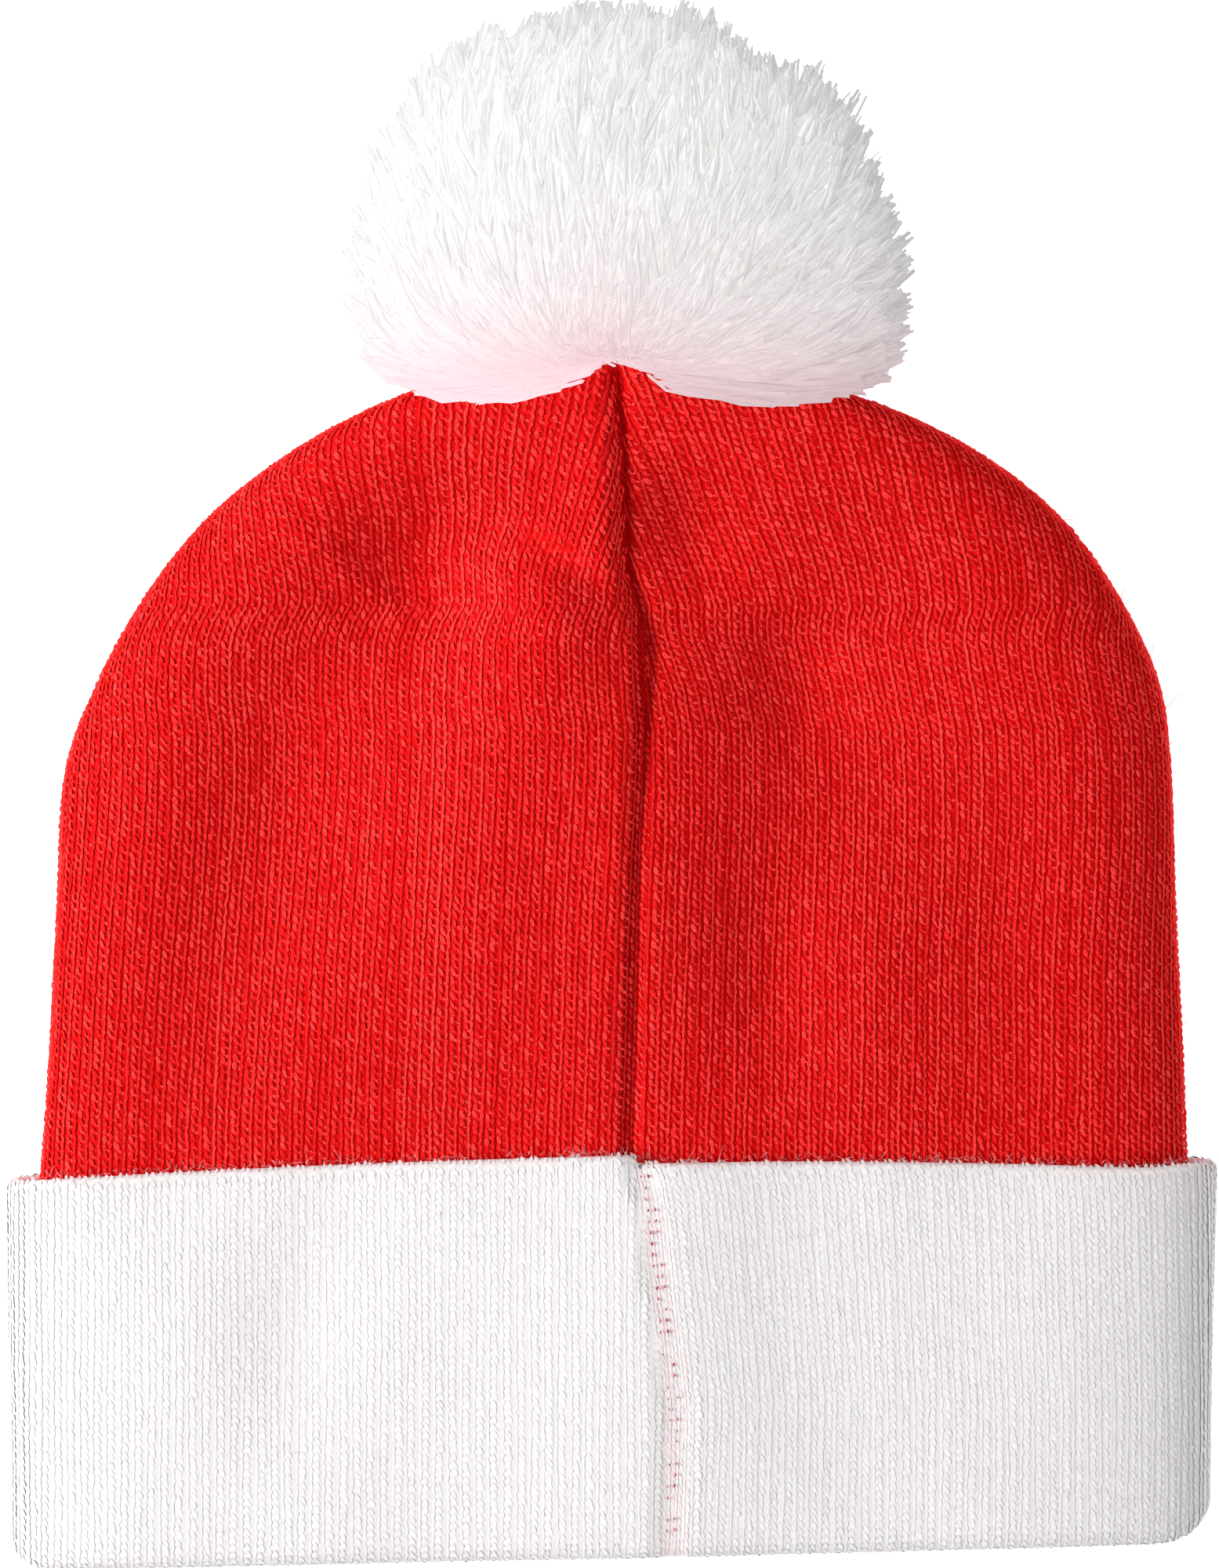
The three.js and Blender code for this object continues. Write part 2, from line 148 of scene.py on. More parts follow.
# The knit: the shells lie this far inside the solids' faces, and the stitches fill that depth
STITCH_DEPTH = 0.85
RED_SOFTNESS, WHITE_SOFTNESS, POMPOM_SOFTNESS = 0.76, 0.92, 0.86
RED_HEIGHT, WHITE_HEIGHT = 0.74, 0.23
CROWN_WALE, CROWN_COURSE = 2.27, 1.44
CUFF_WALE, CUFF_COURSE = 2.42, 1.33


# Small maths

def unit(vectors):
    return vectors / np.maximum(np.linalg.norm(vectors, axis=-1, keepdims=True), 1e-12)


def bell(offset, width):
    return np.exp(-((offset / width) ** 2))


def fade(offset, reach):
    return np.exp(-np.abs(offset) / reach)


def smooth_step(low, high, value):
    t = np.clip((value - low) / (high - low), 0, 1)
    return t * t * (3 - 2 * t)


def smooth_row(table, position):
    """Rows of a table by row number, each column on a Catmull-Rom curve."""
    last = len(table) - 1
    i = np.clip(np.floor(position).astype(int), 0, last - 1)
    t = (position - i)[..., None]
    p, q, r, s = (table[np.clip(i + k, 0, last)] for k in (-1, 0, 1, 2))
    return 0.5 * (2 * q + (r - p) * t + (2 * p - 5 * q + 4 * r - s) * t**2 + (3 * q - p - 3 * r + s) * t**3)


def lengths_along(points):
    """Length along a path up to each of its points."""
    return np.concatenate([[0], np.cumsum(np.linalg.norm(np.diff(points, axis=0), axis=1))])


def ripple(x, y, wave, seed):
    """A slow uneven field from -1 to 1."""
    rng = np.random.default_rng(seed)
    total = 0
    for _ in range(5):
        angle, phase = rng.uniform(0, 2 * math.pi, 2)
        pitch = wave * rng.uniform(0.7, 1.5)
        total = total + np.sin((x * math.cos(angle) + y * math.sin(angle)) * 2 * math.pi / pitch + phase)
    return total / 5


def uneven(spread, shape, rng, most=0.4):
    """Random shares round 1, at most this far off it."""
    return np.clip(1 + spread * rng.standard_normal(shape), 1 - most, 1 + most)


# The hat's surfaces

TUBE_CURVE = smooth_row(TUBE, np.linspace(0, len(TUBE) - 1, 600))


def tube_at(y):
    """left, right, top and base of the knitted tube at each y."""
    return tuple(np.interp(y, TUBE_CURVE[:, 0], TUBE_CURVE[:, k]) for k in (1, 2, 3, 4))


def seam_at(y):
    """x, depth and half width of the seam's valley, and the step down to its right, at each y."""
    return tuple(np.interp(y, SEAM[:, 0], SEAM[:, k]) for k in (1, 2, 3, 4))


def relief(x, y, on_crown):
    """Height of the seam's valley, the dart's crease and the slack folds on the upper face."""
    seam_x, depth, spread, step = seam_at(np.maximum(y, CROWN_SEAM_FOOT) if on_crown else y)
    off = x - seam_x
    height = -depth * bell(off, spread)
    for fold_x, fold_y, wide, long, turn, rise in FOLDS:
        c, s = math.cos(math.radians(turn)), math.sin(math.radians(turn))
        across = (x - fold_x) * c + (y - fold_y) * s
        along = (y - fold_y) * c - (x - fold_x) * s
        height = height + rise * np.exp(-((across / wide) ** 2) - (along / long) ** 2)
    if on_crown:
        in_dart = smooth_step(*CREASE_START, y) * (1 - smooth_step(*CREASE_END, y))
        height = height - CREASE_DEPTH * in_dart * fade(off, CREASE_WIDTH)
        height = height - SEAM_GROOVE_DEPTH * bell(off, SEAM_GROOVE_WIDTH)
        height = height - step * smooth_step(*SEAM_STEP, off) * bell(off, SEAM_STEP_REACH)
    else:
        strip = smooth_step(*STRIP_LEFT_SLOPE, off) * (1 - smooth_step(*STRIP_RIGHT_SLOPE, off))
        height = height - STRIP_DEPTH * strip
    return height + UNEVEN_HEIGHT * ripple(x, y, UNEVEN_WAVE, 3)


def face_height(s, x, y, top, base, upper, on_crown, squareness=UPPER_SQUARENESS):
    """Height of a flattened tube's upper or lower face."""
    middle = base + (top - base) * SIDE_FOLD_SHARE
    power = squareness if upper else LOWER_SQUARENESS
    arch = np.maximum(1 - np.abs(s) ** power, 0) ** (1 / power)
    if upper:
        return middle + arch * (top - middle) + (1 - s**RELIEF_FADE) * relief(x, y, on_crown)
    return np.maximum(middle - arch * (middle - base), 0)


def crown_point(s, y, inset, upper):
    """A point of the crown: s runs from the left side fold at -1 to the right one at 1."""
    left, right, top, base = tube_at(y)
    half = np.maximum(np.where(s < 0, left, right) - inset, 0.5)
    x = s * half
    z = face_height(s, x, y, top - inset, base + inset, upper, True)
    return np.stack(np.broadcast_arrays(x, y, z), -1)


def edge_line(line, x):
    middle, slant, bow = line
    return middle + slant * x - bow * (x / BOW_HALF_WIDTH) ** 2


def fold_edge(x):
    """The cuff's folded edge at the mouth, with rounded corners."""
    radius = np.where(x < 0, *FOLD_CORNERS)
    t = np.clip((np.abs(x) - FOLD_HALF_WIDTH) / radius + 1, 0, 1)
    return edge_line(FOLD_LINE, x) + radius * (1 - np.sqrt(1 - t**2))


def free_edge(x):
    """The cuff's free edge: the left end of the band laps higher than the right one at the seam."""
    off = x - LAP_X
    step = np.where(x < LAP_X, LAP_LEFT * fade(off, LAP_LEFT_REACH), LAP_RIGHT * fade(off, LAP_RIGHT_REACH))
    return edge_line(FREE_LINE, x) + step + CORNER_LIFT * bell(x - CORNER_X, CORNER_WIDE)


def join_edge(x):
    """The end of the cuff's inner leg, on the crown's rim."""
    return np.full_like(x, JOIN_Y)


OUTER_LEG = {"table": CUFF, "last": len(CUFF) - 1, "end": free_edge, "squareness": CUFF_SQUARENESS}
INNER_LEG = {"table": TUBE, "last": RIM_ROW, "end": join_edge, "squareness": UPPER_SQUARENESS}


def cuff_leg_point(s, up, inset, upper, leg):
    section = smooth_row(leg["table"], np.asarray(up * leg["last"], float))
    left, right, top, base = (section[..., k] for k in (1, 2, 3, 4))
    x = s * (np.where(s < 0, left, right) - inset)
    fold = fold_edge(x)
    y = fold + (leg["end"](x) - fold) * up
    z = face_height(s, x, y, top - inset, base + inset, upper, False, leg["squareness"])
    return np.stack(np.broadcast_arrays(x, y, z), -1)


def cuff_point(s, up, leg, depth, upper):
    """A point of the cuff: up from fold to free end, leg from outer 0 to inner 1, depth in the wall."""
    outer = cuff_leg_point(s, up, depth * CUFF_WALL, upper, OUTER_LEG)
    inner = cuff_leg_point(s, up, (1 - depth) * CROWN_WALL, upper, INNER_LEG)
    leg = np.asarray(leg)[..., None]
    return outer * (1 - leg) + inner * leg


def cuff_ring_point(place, s, upper):
    """Points round the cuff at one place of its section, which is given as up, leg and depth."""
    up, leg, depth = (np.full_like(s, value) for value in place)
    return cuff_point(s, up, leg, depth, upper)


def cuff_seam_x(up):
    """Where the seam lies on the cuff, up from its fold."""
    return float(seam_at(CUFF_FOOT + CUFF_RISE * up)[0])


# Half rings from the seam round a side fold to the lower face, as s and upper or lower
HALF_RING, UNDER_RING = 260, 90
UNDER_S = 0.8


def half_ring(side, start_s):
    """s along the upper face from start_s to the side fold, then along the lower face to UNDER_S."""
    start = np.arcsin(np.clip(start_s * side, -1, 1))
    over = np.sin(np.linspace(start, math.pi / 2, HALF_RING))
    under = np.sin(np.linspace(math.pi / 2, math.asin(UNDER_S), UNDER_RING + 1)[1:])
    return side * over, side * under


class KnitSheet:
    """A grid of points over a surface, for placing stitches: by arc from a line up its middle, and by row."""

    STEP = 0.5
    OVERLAP = 4.0

    def __init__(self, curves, rows, side, reach, line_x=None):
        """line_x is where the arcs start on each row. Without it they start at the curves' first points."""
        self.rows = rows
        arcs = np.arange(-self.OVERLAP, reach + self.STEP, self.STEP)
        places = np.empty((len(rows), len(arcs), 3))
        self.ends = np.empty(len(rows))
        near = slice(0, HALF_RING // 3)
        for i, curve in enumerate(curves):
            length = lengths_along(curve[:, ::2])
            zero = 0 if line_x is None else np.interp(side * line_x[i], side * curve[near, 0], length[near])
            self.ends[i] = length[-1] - zero
            for k in range(3):
                places[i, :, k] = np.interp(arcs + zero, length, curve[:, k])
        self.places = places
        across = np.gradient(places, axis=1)
        along = np.gradient(places, axis=0)
        self.normals = unit(np.cross(across, along) * side)

    def look_up(self, table, arc, row):
        r = np.clip(np.interp(row, self.rows, np.arange(len(self.rows))), 0, len(self.rows) - 1.001)
        c = np.clip((arc + self.OVERLAP) / self.STEP, 0, table.shape[1] - 1.001)
        i, k = r.astype(int), c.astype(int)
        fr, fc = (r - i)[..., None], (c - k)[..., None]
        low = table[i, k] * (1 - fc) + table[i, k + 1] * fc
        high = table[i + 1, k] * (1 - fc) + table[i + 1, k + 1] * fc
        return low * (1 - fr) + high * fr

    def place(self, arc, row):
        return self.look_up(self.places, arc, row)

    def normal(self, arc, row):
        return unit(self.look_up(self.normals, arc, row))

    def end(self, row):
        return np.interp(row, self.rows, self.ends)


# Meshes from arrays

# A strand's side that faces away from the cloth by more than this cosine keeps some of its own shading
OWN_SHADING = -0.5
# Each strand has a random key up to this, which sets its fibres apart from the next one's
KEYS = 400


def strand_faces(r, sides):
    """Quads and end triangles of one closed strand of r rings, whose two end points follow its rings."""
    k = np.arange(sides)
    after = (k + 1) % sides
    ring = sides * np.arange(r - 1)[:, None]
    quads = np.stack([ring + k, ring + after, ring + sides + after, ring + sides + k], -1).reshape(-1, 4)
    last = sides * (r - 1)
    first_cap = np.stack([after, k, np.full(sides, r * sides)], -1)
    last_cap = np.stack([last + k, last + after, np.full(sides, r * sides + 1)], -1)
    return quads, np.concatenate([first_cap, last_cap])


def yarn_places(rings, ends, along, around, key):
    """Where each point lies round and along its strand, in millimetres, and the strand's key."""
    n, r, sides = rings.shape[:3]
    step = np.linalg.norm(ends - rings[:, (0, -1)].mean(2), axis=2)
    tips = np.stack([along[:, 0] - step[:, 0], along[:, -1] + step[:, 1]], 1)
    lengthwise = np.concatenate([np.repeat(along, sides, 1), tips], 1)
    roundwise = np.broadcast_to(around * np.arange(sides), (n, r, sides)).reshape(n, -1)
    roundwise = np.concatenate([roundwise, np.full((n, 2), around * (sides - 1) / 2)], 1)
    keys = np.repeat(key[:, None], r * sides + 2, 1)
    return np.stack([roundwise, lengthwise, keys], -1).reshape(-1, 3)


class Strands:
    """Collects closed strands, grains and fibres as arrays, to become one mesh."""

    def __init__(self, softness=0.0):
        """softness is how far the strands are shaded as the cloth's own face, as a mass of fine fibres is."""
        self.softness = softness
        self.points, self.quads, self.triangles, self.normals = [], [], [], []
        self.yarn, self.tint, self.count = [], [], 0

    def shading(self, rings, ends, facing):
        """Normals between the strands' own and those of the cloth."""
        n, r, sides = rings.shape[:3]
        facing = np.broadcast_to(facing, (n, r, 3))
        middle = rings.mean(2)
        outward = np.concatenate([unit(rings - middle[:, :, None]).reshape(n, -1, 3),
                                  unit(ends - middle[:, (0, -1)])], 1)
        cloth = np.concatenate([np.repeat(facing, sides, 1), facing[:, (0, -1)]], 1)
        toward = (outward * cloth).sum(-1, keepdims=True)
        lean = self.softness * np.clip(1 - OWN_SHADING + toward, 0, 1)
        return unit((1 - lean) * outward + lean * cloth).reshape(-1, 3)

    def add(self, rings, ends, along, around, tint, key, facing=0.0):
        """Adds n strands: rings (n, r, sides, 3), ends (n, 2, 3), along (n, r), around in millimetres,
        tint (n,) or (n, r), key (n,) and the cloth's normals facing (n, r, 3)."""
        n, r, sides = rings.shape[:3]
        each = r * sides + 2
        base = self.count + each * np.arange(n)[:, None, None]
        quads, caps = strand_faces(r, sides)
        tint = np.broadcast_to(tint.reshape(n, -1), (n, r))
        self.points.append(np.concatenate([rings.reshape(n, r * sides, 3), ends], 1).reshape(-1, 3))
        self.quads.append((base + quads).reshape(-1, 4))
        self.triangles.append((base + caps).reshape(-1, 3))
        self.normals.append(self.shading(rings, ends, facing))
        self.yarn.append(yarn_places(rings, ends, along, around, key))
        self.tint.append(np.concatenate([np.repeat(tint, sides, 1), tint[:, (0, -1)]], 1).ravel())
        self.count += n * each

    def piece(self, name, material, slot, red_bounce_and_fuzz=None):
        """The strands as one mesh. The last argument, given points, says how much pink each point is painted
        with, as painted reflection of the red knit and, on the cuff's rim, red fibres.
        """
        points = np.concatenate(self.points)
        quads = np.concatenate(self.quads)
        triangles = np.concatenate(self.triangles)
        piece = mesh_piece(name, points, quads, triangles, material)
        piece.data.normals_split_custom_set_from_vertices(np.concatenate(self.normals).astype(np.float32))
        add_attribute(piece, "yarn", "FLOAT_VECTOR", "vector", np.concatenate(self.yarn))
        add_attribute(piece, "tint", "FLOAT", "value", np.concatenate(self.tint))
        add_attribute(piece, "red_bounce_and_fuzz", "FLOAT", "value", red_bounce_and_fuzz(points) if red_bounce_and_fuzz else np.zeros(len(points)))
        return piece


def add_attribute(piece, name, kind, field, values):
    layer = piece.data.attributes.new(name, kind, "POINT")
    layer.data.foreach_set(field, values.astype(np.float32).ravel())


def mesh_piece(name, points, quads, triangles, material):
    """A smooth mesh that rides on the hat. Points are in millimetres."""
    mesh = bpy.data.meshes.new(name)
    corners = np.concatenate([quads.ravel(), triangles.ravel()]).astype(np.int32)
    starts = np.concatenate([4 * np.arange(len(quads)), 4 * len(quads) + 3 * np.arange(len(triangles))])
    mesh.vertices.add(len(points))
    mesh.vertices.foreach_set("co", (points * MM).astype(np.float32).ravel())
    mesh.loops.add(len(corners))
    mesh.loops.foreach_set("vertex_index", corners)
    mesh.polygons.add(len(starts))
    mesh.polygons.foreach_set("loop_start", starts.astype(np.int32))
    mesh.update(calc_edges=True)
    mesh.validate()
    mesh.shade_smooth()
    mesh.materials.append(material)
    piece = bpy.data.objects.new(name, mesh)
    bpy.context.scene.collection.objects.link(piece)
    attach(piece, "root")
    return piece


def ring_skin(rings, closed):
    """Quads over rings of equal count. A closed skin joins the last ring to the first."""
    n, count = rings.shape[:2]
    i = np.arange(n if closed else n - 1)[:, None] * count
    k = np.arange(count)
    after = (k + 1) % count
    up = (i + count) % (n * count)
    return np.stack([i + after, up + after, up + k, i + k], -1).reshape(-1, 4)


def pole_caps(rings):
    """Triangles from the first and the last ring to two poles, which follow the rings' points."""
    n, count = rings.shape[:2]
    k = np.arange(count)
    after = (k + 1) % count
    end = (n - 1) * count
    first = np.stack([np.full(count, n * count), after, k], -1)
    last = np.stack([np.full(count, n * count + 1), end + k, end + after], -1)
    return np.concatenate([first, last])


# Materials

YARN_ROUGHNESS = 0.95
SHEEN_ROUGHNESS = 0.45
# How much a strand's tint shifts its place in the ramp of colours
TINT_SHARE = 0.22
# The first place holds the colour for painted shade, or the dark one when none is given
RAMP_PLACES = (0.04, 0.36, 0.5, 0.64)
# Pink painted on white yarn next to the red knit: painted reflection of the red, and on the cuff's rim also
# red fibres
RED_BOUNCE_AND_FUZZ_PINK = (0.76, 0.54, 0.575)
KNIT_WAVE = {"Scale": 0.31416, "Distortion": 1.2, "Detail": 1.0, "Detail Scale": 1.0}
KNIT_NOISE = {"Scale": 0.9, "Detail": 3.0, "Roughness": 0.6}
FIBRE_NOISE = {"Scale": 1.0, "Detail": 2.0, "Roughness": 0.5}


def new_material(name, roughness, sheen, sheen_tint, specular):
    material = bpy.data.materials.new(name)
    material.use_nodes = True
    tree = material.node_tree
    shader = tree.nodes["Principled BSDF"]
    shader.inputs["Roughness"].default_value = roughness
    shader.inputs["Sheen Weight"].default_value = sheen
    shader.inputs["Sheen Roughness"].default_value = SHEEN_ROUGHNESS
    shader.inputs["Sheen Tint"].default_value = (*sheen_tint, 1)
    shader.inputs["Specular IOR Level"].default_value = specular
    return material, tree, shader


def add_node(tree, kind, inputs=None, **settings):
    """A node with its settings. Its inputs are numbers, colours or other nodes' outputs."""
    node = tree.nodes.new(kind)
    for name, value in settings.items():
        setattr(node, name, value)
    for name, value in (inputs or {}).items():
        if isinstance(value, bpy.types.NodeSocket):
            tree.links.new(value, node.inputs[name])
        else:
            node.inputs[name].default_value = value
    return node


def add_ramp(tree, source, stops):
    ramp = add_node(tree, "ShaderNodeValToRGB", {"Fac": source})
    elements = ramp.color_ramp.elements
    while len(elements) < len(stops):
        elements.new(0.5)
    for element, (place, colour) in zip(elements, stops):
        element.position = place
        element.color = (*colour, 1)
    return ramp.outputs["Color"]


def add_bump(tree, shader, height, strength, distance):
    inputs = {"Height": height, "Strength": strength, "Distance": distance * MM}
    bump = add_node(tree, "ShaderNodeBump", inputs)
    tree.links.new(bump.outputs["Normal"], shader.inputs["Normal"])


def attribute(tree, name, output):
    return add_node(tree, "ShaderNodeAttribute", attribute_name=name).outputs[output]


def scaled(tree, source, scale):
    node = add_node(tree, "ShaderNodeVectorMath", {0: source, 1: scale}, operation="MULTIPLY")
    return node.outputs["Vector"]


def yarn_material(name, dark, middle, light, sheen, sheen_tint, across=6.0, along=2.2, bump=0.07, painted_shade_colour=None):
    """Spun yarn: fibre streaks along each strand, and strands that differ. The last colour, when given, is
    painted shade for strands that lie in shade.
    """
    material, tree, shader = new_material(name, YARN_ROUGHNESS, sheen, sheen_tint, 0.0)
    place = scaled(tree, attribute(tree, "yarn", "Vector"), (across, along, 1))
    fibre = add_node(tree, "ShaderNodeTexNoise", {"Vector": place, **FIBRE_NOISE}).outputs["Fac"]
    mixed = {0: attribute(tree, "tint", "Fac"), 1: TINT_SHARE, 2: fibre}
    mix = add_node(tree, "ShaderNodeMath", mixed, operation="MULTIPLY_ADD")
    ramp = add_ramp(tree, mix.outputs[0], list(zip(RAMP_PLACES, (painted_shade_colour or dark, dark, middle, light))))
    # Pink mixed in where the attribute asks: painted reflection of the red knit, with red fibres on the
    # cuff's rim
    red_bounce_mix = {"Fac": attribute(tree, "red_bounce_and_fuzz", "Fac"), "Color1": ramp, "Color2": (*RED_BOUNCE_AND_FUZZ_PINK, 1)}
    colour = add_node(tree, "ShaderNodeMixRGB", red_bounce_mix)
    tree.links.new(colour.outputs["Color"], shader.inputs["Base Color"])
    add_bump(tree, shader, fibre, 0.8, bump)
    return material


def shell_material(name, dark, light, wale, course, sheen, sheen_tint):
    """The knit behind the stitches, and bare on the inner and lower faces: waves at the stitches' pitch."""
    material, tree, shader = new_material(name, YARN_ROUGHNESS, sheen, sheen_tint, 0.0)
    place = add_node(tree, "ShaderNodeTexCoord").outputs["Object"]
    place = scaled(tree, place, (1 / (wale * MM), 1 / (course * MM), 1 / (wale * MM)))
    noise = add_node(tree, "ShaderNodeTexNoise", {"Vector": place, **KNIT_NOISE})
    waves = {}
    for i, direction in enumerate("XY"):
        wave = add_node(tree, "ShaderNodeTexWave", {"Vector": place, **KNIT_WAVE},
                        bands_direction=direction, wave_profile="SIN")
        waves[i] = wave.outputs["Fac"]
    knit = add_node(tree, "ShaderNodeMath", waves, operation="MULTIPLY")
    mixed = {0: noise.outputs["Fac"], 1: 0.5, 2: knit.outputs[0]}
    height = add_node(tree, "ShaderNodeMath", mixed, operation="MULTIPLY_ADD").outputs[0]
    tree.links.new(add_ramp(tree, height, [(0.25, dark), (0.9, light)]), shader.inputs["Base Color"])
    add_bump(tree, shader, height, 0.9, 0.12)
    return material


RED_SHEEN = (1.0, 0.25, 0.22)
WHITE_SHEEN = (1.0, 0.98, 0.96)

# Its deepest colour is painted shade, for the wales beside the seam's groove
red_yarn = yarn_material(
    "red_yarn", (0.71, 0.007, 0.008), (0.88, 0.019, 0.019), (0.97, 0.064, 0.058), 0.02, RED_SHEEN,
    painted_shade_colour=(0.46, 0.002, 0.003))
# A little darker than the red yarn: painted shade in the holes between the stitches
red_back = shell_material(
    "red_back", (0.58, 0.004, 0.005), (0.70, 0.009, 0.009), CROWN_WALE, CROWN_COURSE, 0.02, RED_SHEEN)
white_yarn = yarn_material(
    "white_yarn", (0.735, 0.713, 0.713), (0.775, 0.755, 0.755), (0.81, 0.792, 0.792), 0.15, WHITE_SHEEN)
# A little darker than the white yarn: painted shade in the holes between the stitches
white_back = shell_material(
    "white_back", (0.715, 0.692, 0.688), (0.75, 0.73, 0.727), CUFF_WALE, CUFF_COURSE, 0.1, WHITE_SHEEN)
seam_yarn = yarn_material(
    "seam_yarn", (0.76, 0.62, 0.635), (0.81, 0.71, 0.72), (0.84, 0.78, 0.785), 0.15, WHITE_SHEEN)
seam_thread = yarn_material(
    "seam_thread", (0.46, 0.03, 0.04), (0.62, 0.07, 0.08), (0.75, 0.18, 0.19), 0.1, RED_SHEEN)
# Its darker colours show mostly where painted shade darkens the strands' roots and the pompom's rim
pompom_yarn = yarn_material(
    "pompom_yarn", (0.63, 0.63, 0.64), (0.725, 0.72, 0.71), (0.775, 0.772, 0.772), 0.15, WHITE_SHEEN,
    across=2.2, along=0.35, bump=0.06)
# A little darker and warmer than the strands: painted shade in the partings between them
pompom_heart = shell_material(
    "pompom_heart", (0.67, 0.66, 0.63), (0.71, 0.70, 0.67), 2.4, 3.0, 0.1, WHITE_SHEEN)


# Shells behind the stitches

SHELL_UPPER, SHELL_LOWER = 50, 34
SHELL_GRADING = 1.35
OUTER_ROWS, INNER_ROWS = 76, 26
SEAM_REACH_S = 0.3


def spaced_s(side, start_s, point_of):
    """s values that split the upper face from the seam to a side fold, closer near the seam."""
    s = half_ring(side, start_s)[0]
    length = lengths_along(point_of(s, True))
    wanted = length[-1] * (np.arange(SHELL_UPPER) / SHELL_UPPER) ** SHELL_GRADING
    return np.interp(wanted, length, s)


def whole_ring(seam_s, point_of):
    """One ring of points round a flattened tube: seam, left side, lower face, right side, seam."""
    upper_left = point_of(spaced_s(-1, seam_s, point_of), True)
    upper_right = point_of(spaced_s(1, seam_s, point_of)[:0:-1], True)
    below = np.sin(np.linspace(-math.pi / 2, math.pi / 2, SHELL_LOWER))
    return np.concatenate([upper_left, point_of(below, False), upper_right])


def crown_ring(y, inset):
    right = tube_at(y)[1]
    seam_x = float(seam_at(max(y, CROWN_SEAM_FOOT))[0])
    seam_s = np.clip(seam_x / (right - inset), -SEAM_REACH_S, SEAM_REACH_S)
    return whole_ring(seam_s, lambda s, upper: crown_point(s, np.full_like(s, y), inset, upper))


def build_crown_shell():
    """The crown's wall, hollow and closed at the tip."""
    rim_y = TUBE[RIM_ROW, 0]
    tip_y = TUBE[-1, 0] - 0.2
    hollow_y = tip_y - 2
    outer = [crown_ring(y, STITCH_DEPTH) for y in rim_y + (tip_y - rim_y) * np.linspace(0, 1, OUTER_ROWS)]
    inner = [crown_ring(y, CROWN_WALL) for y in hollow_y + (rim_y - hollow_y) * np.linspace(0, 1, INNER_ROWS)]
    rings = np.stack(inner + outer)
    poles = np.array([(TIP[0], TIP[1] - CROWN_WALL, TIP[2]), (TIP[0], TIP[1] - 0.3, TIP[2])])
    points = np.concatenate([rings.reshape(-1, 3), poles])
    caps = pole_caps(rings)[:, ::-1]
    piece = mesh_piece("crown_shell", points, ring_skin(rings, False), caps, red_back)
    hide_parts("crown")


# The cuff's section once round, by the same rule for the shell and for the stitches' path
SKIN = STITCH_DEPTH / CUFF_WALL
INNER_END = 0.45
FOLD_UP, FOLD_LOW, FOLD_POINTS = 0.055, 0.043, 11
RIM_UP, RIM_HIGH, RIM_POINTS = 0.966, 0.023, 9
# The rest of the section, inside the fold and over the inner leg's end: up, leg and depth
INNER_PROFILE = np.array([
    (0.6, 0, 1), (0.12, 0, 1), (0.085, 0.5, 1), (0.13, 1, 1), (0.6, 1, 1), (0.995, 1, 1),
    (0.995, 1, SKIN), (0.8, 1, SKIN), (0.6, 1, SKIN),
])


def profile_rows(up, leg, depth):
    return np.stack(np.broadcast_arrays(up, leg, depth), 1)


def outer_profile(rows):
    """up, leg and depth along the side that shows: inner leg, fold, outer leg and over the free edge."""
    fold = np.linspace(0, math.pi, FOLD_POINTS)[:-1]
    rim = np.linspace(0, math.pi, RIM_POINTS)
    return np.concatenate([
        profile_rows(np.linspace(INNER_END, FOLD_UP, rows)[:-1], 1, SKIN),
        profile_rows(FOLD_UP - FOLD_LOW * np.sin(fold), (1 + np.cos(fold)) / 2, SKIN),
        profile_rows(np.linspace(FOLD_UP, RIM_UP, 2 * rows)[:-1], 0, SKIN),
        profile_rows(RIM_UP + RIM_HIGH * np.sin(rim), 0, SKIN + (1 - SKIN) * (1 - np.cos(rim)) / 2),
    ])


def build_cuff_shell():
    """The folded band of the cuff."""
    rings = []
    for place in np.concatenate([outer_profile(10), INNER_PROFILE]):
        seam_s = cuff_seam_x(place[0]) / CUFF_HALF_WIDTH
        rings.append(whole_ring(seam_s, lambda s, upper: cuff_ring_point(place, s, upper)))
    rings = np.stack(rings)
    no_caps = np.empty((0, 3), int)
    points = rings.reshape(-1, 3)
    piece = mesh_piece("cuff_shell", points, ring_skin(rings, True), no_caps, white_back)
    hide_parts("cuff")


# Stitches: each wale has a thin steep cord on its left, then slanting legs, and low bridges to the next cord

# The cord at the foot and the top of a stitch: place across and along, half width, thickness and lift
CORD = [
    {"x": -0.29, "along": -0.28, "wide": 0.18, "thick": 0.15, "lift": 0.29},
    {"x": -0.25, "along": 0.22, "wide": 0.28, "thick": 0.24, "lift": 0.45},
]
# A slanting leg: its top and foot across and along, lift at four places down it, half width and thickness
LEG_TOP, LEG_FOOT = (0.05, 0.60), (0.34, -0.54)
LEG_SHARES = np.array((0.0, 0.3, 0.7, 1.0))
LEG_LIFT = np.array((0.22, 0.48, 0.46, 0.14))
LEG_WIDE, LEG_THICK = 0.32, 0.28
BRIDGE = {"x": 0.47, "along": -0.36, "long": 0.62, "wide": 0.22, "thick": 0.20, "lift": 0.16, "slant": 56.0}
# Random spread of their places across, in wales, along, in millimetres, and up, and of their sizes and slants
CORD_SPREAD = {"x": 0.03, "along": 0.08, "size": 0.18}
LEG_SPREAD = {"x": 0.035, "turn": 0.10, "along": 0.09, "size": 0.16}
BRIDGE_SPREAD = {"x": 0.04, "along": 0.10, "size": 0.2, "slant": 12}
LIFT_SPREAD = 0.06
GRAIN_BASE = 0.4
